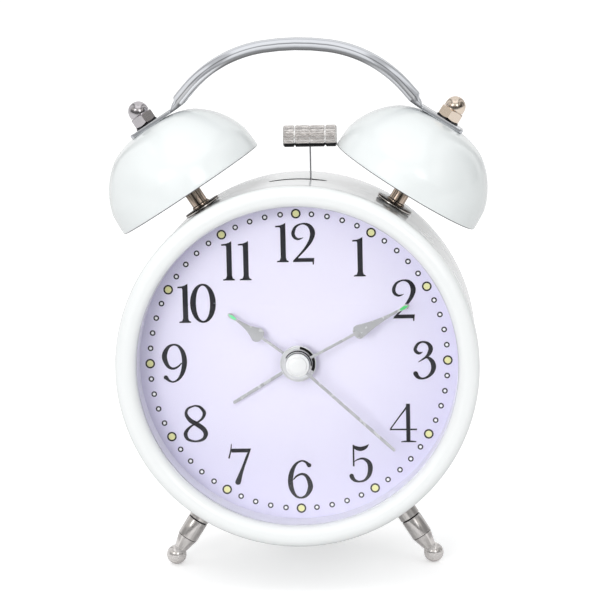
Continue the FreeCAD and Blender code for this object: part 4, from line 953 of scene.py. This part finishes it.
def strap_path():
    """Sections from the top of the bow to the pinched end: sizes, place on the underside, and slope."""
    crown_z = top_height - crown_r
    inset = crown_r - shoulder_r
    shoulder = (inset * sin(radians(crown_turn)), crown_z + inset * cos(radians(crown_turn)), shoulder_r)
    bows = [((0.0, crown_z, crown_r), turn) for turn in (0.0, 4.0)]
    bows += [(shoulder, crown_turn + (slope - crown_turn) * k / 16) for k in range(17)]
    stations = []
    for (x, z, outside), turn in bows:
        radius = outside - channel[1]
        stations.append((channel, x + radius * sin(radians(turn)), z + radius * cos(radians(turn)), turn))
    run = 4.0
    x, z = stations[-1][1] + run * cos(radians(slope)), stations[-1][2] - run * sin(radians(slope))
    stations.append((channel, x, z, slope))
    lean_in = radians(bell_angle)
    pinched_at = -8.6
    fx = strap_bottom * sin(lean_in) + pinched_at * cos(lean_in)
    fz = strap_bottom * cos(lean_in) - pinched_at * sin(lean_in)
    middle = (half_pinched, x * 0.54 + fx * 0.46, z * 0.52 + fz * 0.48, 40.0)
    ends = (stations[-1], middle, (nearly_flat, fx, fz, bell_angle))
    for (sizes, x0, z0, t0), (other, x1, z1, t1) in zip(ends, ends[1:]):
        for k in range(1, 5):
            share = k / 4
            eased_share = share * share * (3 - 2 * share)
            mixed = tuple(a + (b - a) * eased_share for a, b in zip(sizes, other))
            stations.append((mixed, x0 + (x1 - x0) * share, z0 + (z1 - z0) * share, t0 + (t1 - t0) * eased_share))
    return stations


def bridge(shape, loops):
    for loop, following in zip(loops, loops[1:]):
        bmesh.ops.bridge_loops(shape, edges=loop + following)


strap = bmesh.new()
bridge(strap, [channel_ring(strap, *station) for station in strap_path()])
foot_end, foot_half, foot_corner, foot_start = 6.0, 5.25, 1.2, -8.8
foot_outline = [(foot_start, -foot_half), (foot_end - foot_corner, -foot_half)]
near = foot_corner * (1 - cos(pi / 4))
foot_outline += arc(foot_outline[-1], (foot_end - near, -foot_half + near), (foot_end, -foot_half + foot_corner), 6)
foot_outline += [(foot_end, foot_half - foot_corner)]
foot_outline += arc(foot_outline[-1], (foot_end - near, foot_half - near), (foot_end - foot_corner, foot_half), 6)
foot_outline += [(foot_start, foot_half)]
foot = bmesh.new()
sole = foot.faces.new([foot.verts.new((s, y, strap_bottom)) for s, y in foot_outline])
push_out(foot, [sole], (0, 0, strap_thick))
round_edges(foot, foot.edges[:], 0.14)
bmesh.ops.rotate(foot, verts=foot.verts, cent=(0, 0, 0), matrix=Matrix.Rotation(radians(bell_angle), 3, "Y"))
level, plain_share = foot.verts.layers.float.new("round"), 0.335
for vert in foot.verts:
    vert[level] = plain_share
add_copy(strap, foot)
bmesh.ops.mirror(strap, geom=strap.verts[:] + strap.edges[:] + strap.faces[:], axis="X", merge_dist=1e-4)
bmesh.ops.remove_doubles(strap, verts=strap.verts, dist=1e-4)
section_map, round_at = strap.loops.layers.uv.new("section"), strap.verts.layers.float["round"]
for face in strap.faces:
    for loop in face.loops:
        loop[section_map].uv = (loop.vert[round_at], 0.5)
finish("chromed_strap", strap, strap_chrome(), "case", ("carry_handle",), sharp=40.0,
       place=Matrix.Translation((0, mid_depth, 0)))

# Hammer: a turned steel head with a straight knurl and three grooves, on a thin spring wire that comes up
# through a slot in the drum. The wire is clamped in the lever that the bell motor's crank swings.
head_x, head_z, head_length, head_r, knurls = 4.1, 69.1, 16.8, 3.43, 24
groove_half, groove_floor, knurl_depth = 0.36, 3.0, 0.24
head_nickel, tree, shader, at, tone = streaked_metal(
    "head_nickel", (0.93, 0.89, 0.865), (0.54, 0.515, 0.50), (0.18, 0.32), 4200.0, 0.2, (0.16, 1, 1), False,
    metallic=0.62)
# The grooves are painted near white as painted highlights; the middle one only on its lower half.
for along, half, top in ((-4.8, 0.2, 9.0), (4.8, 0.2, 9.0), (0.0, 0.1, 0.0)):
    in_groove = band_of(tree, at["X"], head_x + along, half)
    lower = math_of(tree, "LESS_THAN", at["Z"], (head_z + top) / 1000)
    painted_groove_highlight = math_of(tree, "MULTIPLY", in_groove, lower)
    tone = colour_mix(tree, painted_groove_highlight, tone, (1.0, 0.99, 0.98))
# The bottom of the head is painted near black, as painted shade.
painted_shade_below = edge_of(tree, at["Z"], head_z - 2.35, head_z - 1.8, 1.0, 0.0)
fill(tree, shader, {"Base Color": colour_mix(tree, painted_shade_below, tone, (0.008, 0.008, 0.009))})
stations = [(-head_length / 2, 2.95), (-head_length / 2 + 0.42, head_r)]
for groove, half in ((-4.8, groove_half), (0.0, 0.22), (4.8, groove_half)):
    stations += [(groove - half, head_r), (groove - half * 0.45, groove_floor),
                 (groove + half * 0.45, groove_floor), (groove + half, head_r)]
stations += [(head_length / 2 - 0.42, head_r), (head_length / 2, 2.95)]


def knurled(angle):
    """1 on a ridge and less in the dip beside it."""
    return 1.0 if 0.2 < (angle / (2 * pi) * knurls) % 1.0 < 0.8 else 1.0 - knurl_depth / head_r


head = bmesh.new()
rings = stacked_rings(head, 1.0, knurls * 4, len(stations), knurled)
for (along, radius), edges in zip(stations, rings):
    for vert in {vert for edge in edges for vert in edge.verts}:
        vert.co.xy = vert.co.xy.normalized() * min(vert.co.to_2d().length * head_r, radius)
        vert.co.z = along
close_ends(head, rings)
bmesh.ops.rotate(head, verts=head.verts, cent=(0, 0, 0), matrix=Matrix.Rotation(pi / 2, 3, "Y"))
finish("knurled_head", head, head_nickel, "hammer", ("hammer_head",), sharp=20.0,
       place=Matrix.Translation((head_x, mid_depth, head_z)))
wire_steel = streaked_metal("wire_steel", (0.80, 0.80, 0.81), (0.60, 0.60, 0.62), (0.25, 0.35), 1300.0, 0.05,
                            (1, 1, 0.05), False)[0]
wire_r, wire_bend, pivot_z, clamp_low, bend_z, wire_top = 0.27, 6.0, 24.0, 8.0, 47.0, 70.4
wire_turn = atan2(head_x, bend_z - pivot_z)
tangent = wire_bend * (1 - cos(wire_turn)) / sin(wire_turn)
wire = bmesh.new()
wire_stations = [(clamp_low * sin(wire_turn), pivot_z + clamp_low * cos(wire_turn), wire_turn)]
for k in range(7):
    turn = wire_turn * (6 - k) / 6
    wire_stations.append((head_x - wire_bend * (1 - cos(turn)), bend_z + tangent - wire_bend * sin(turn), turn))
wire_stations.append((head_x, wire_top, 0.0))
loops = []
for x, z, turn in wire_stations:
    placed_at = Matrix.Translation((x, mid_depth, z)) @ Matrix.Rotation(turn, 4, "Y")
    made = bmesh.ops.create_circle(wire, cap_ends=False, radius=wire_r, segments=20, matrix=placed_at)
    loops.append(edges_of(made))
bridge(wire, loops)
close_ends(wire, loops)
finish("spring_wire", wire, wire_steel, "hammer", ("hammer_wire",))

# Legs: turned from steel bar and nickel plated, with a fine groove under the drum, a plain body that
# tapers to a neck, and a ball to stand on. Each is screwed on a stud from inside the drum.
leg_angle, ball_r, ball_out, neck_r = 147.5, 3.15, 76.7, 2.0
# Its lengthwise lines are partly drawing lines and partly painted reflection bands; its dark rings are painted shade
# in the groove and at the step above the taper.
leg_nickel = streaked_metal("leg_nickel", (0.79, 0.755, 0.735), (0.54, 0.515, 0.50), (0.12, 0.26), 760.0, 0.15,
                            marks=((62.95, 63.4), (69.78, 69.96)), plain_from=74.3, metallic=0.68)[0]
neck_at = ball_out - (ball_r ** 2 - neck_r ** 2) ** 0.5
leg_outline = [(0.0, 51.0), (1.95, 51.0), (1.95, 55.63), (3.3, 55.63), (3.35, 55.72), (3.35, 62.85), (3.30, 62.92),
               (2.95, 63.0), (2.95, 63.35), (3.26, 63.43), (3.3, 63.52), (3.3, 69.65)]
leg_outline += [(3.27, 69.74), (3.12, 69.86), (3.20, 69.98), (neck_r + 0.04, neck_at - 0.12), (neck_r, neck_at)]
leg_outline += arc((neck_r, neck_at), (ball_r, ball_out), (0.0, ball_out + ball_r), 22)
for side, angle in (("left", -leg_angle), ("right", leg_angle)):
    finish(f"turned_leg_{side}", turned(leg_outline, 80, "stem"), leg_nickel, "case",
           (f"leg_{side}",), sharp=24.0, place=on_stem(angle))
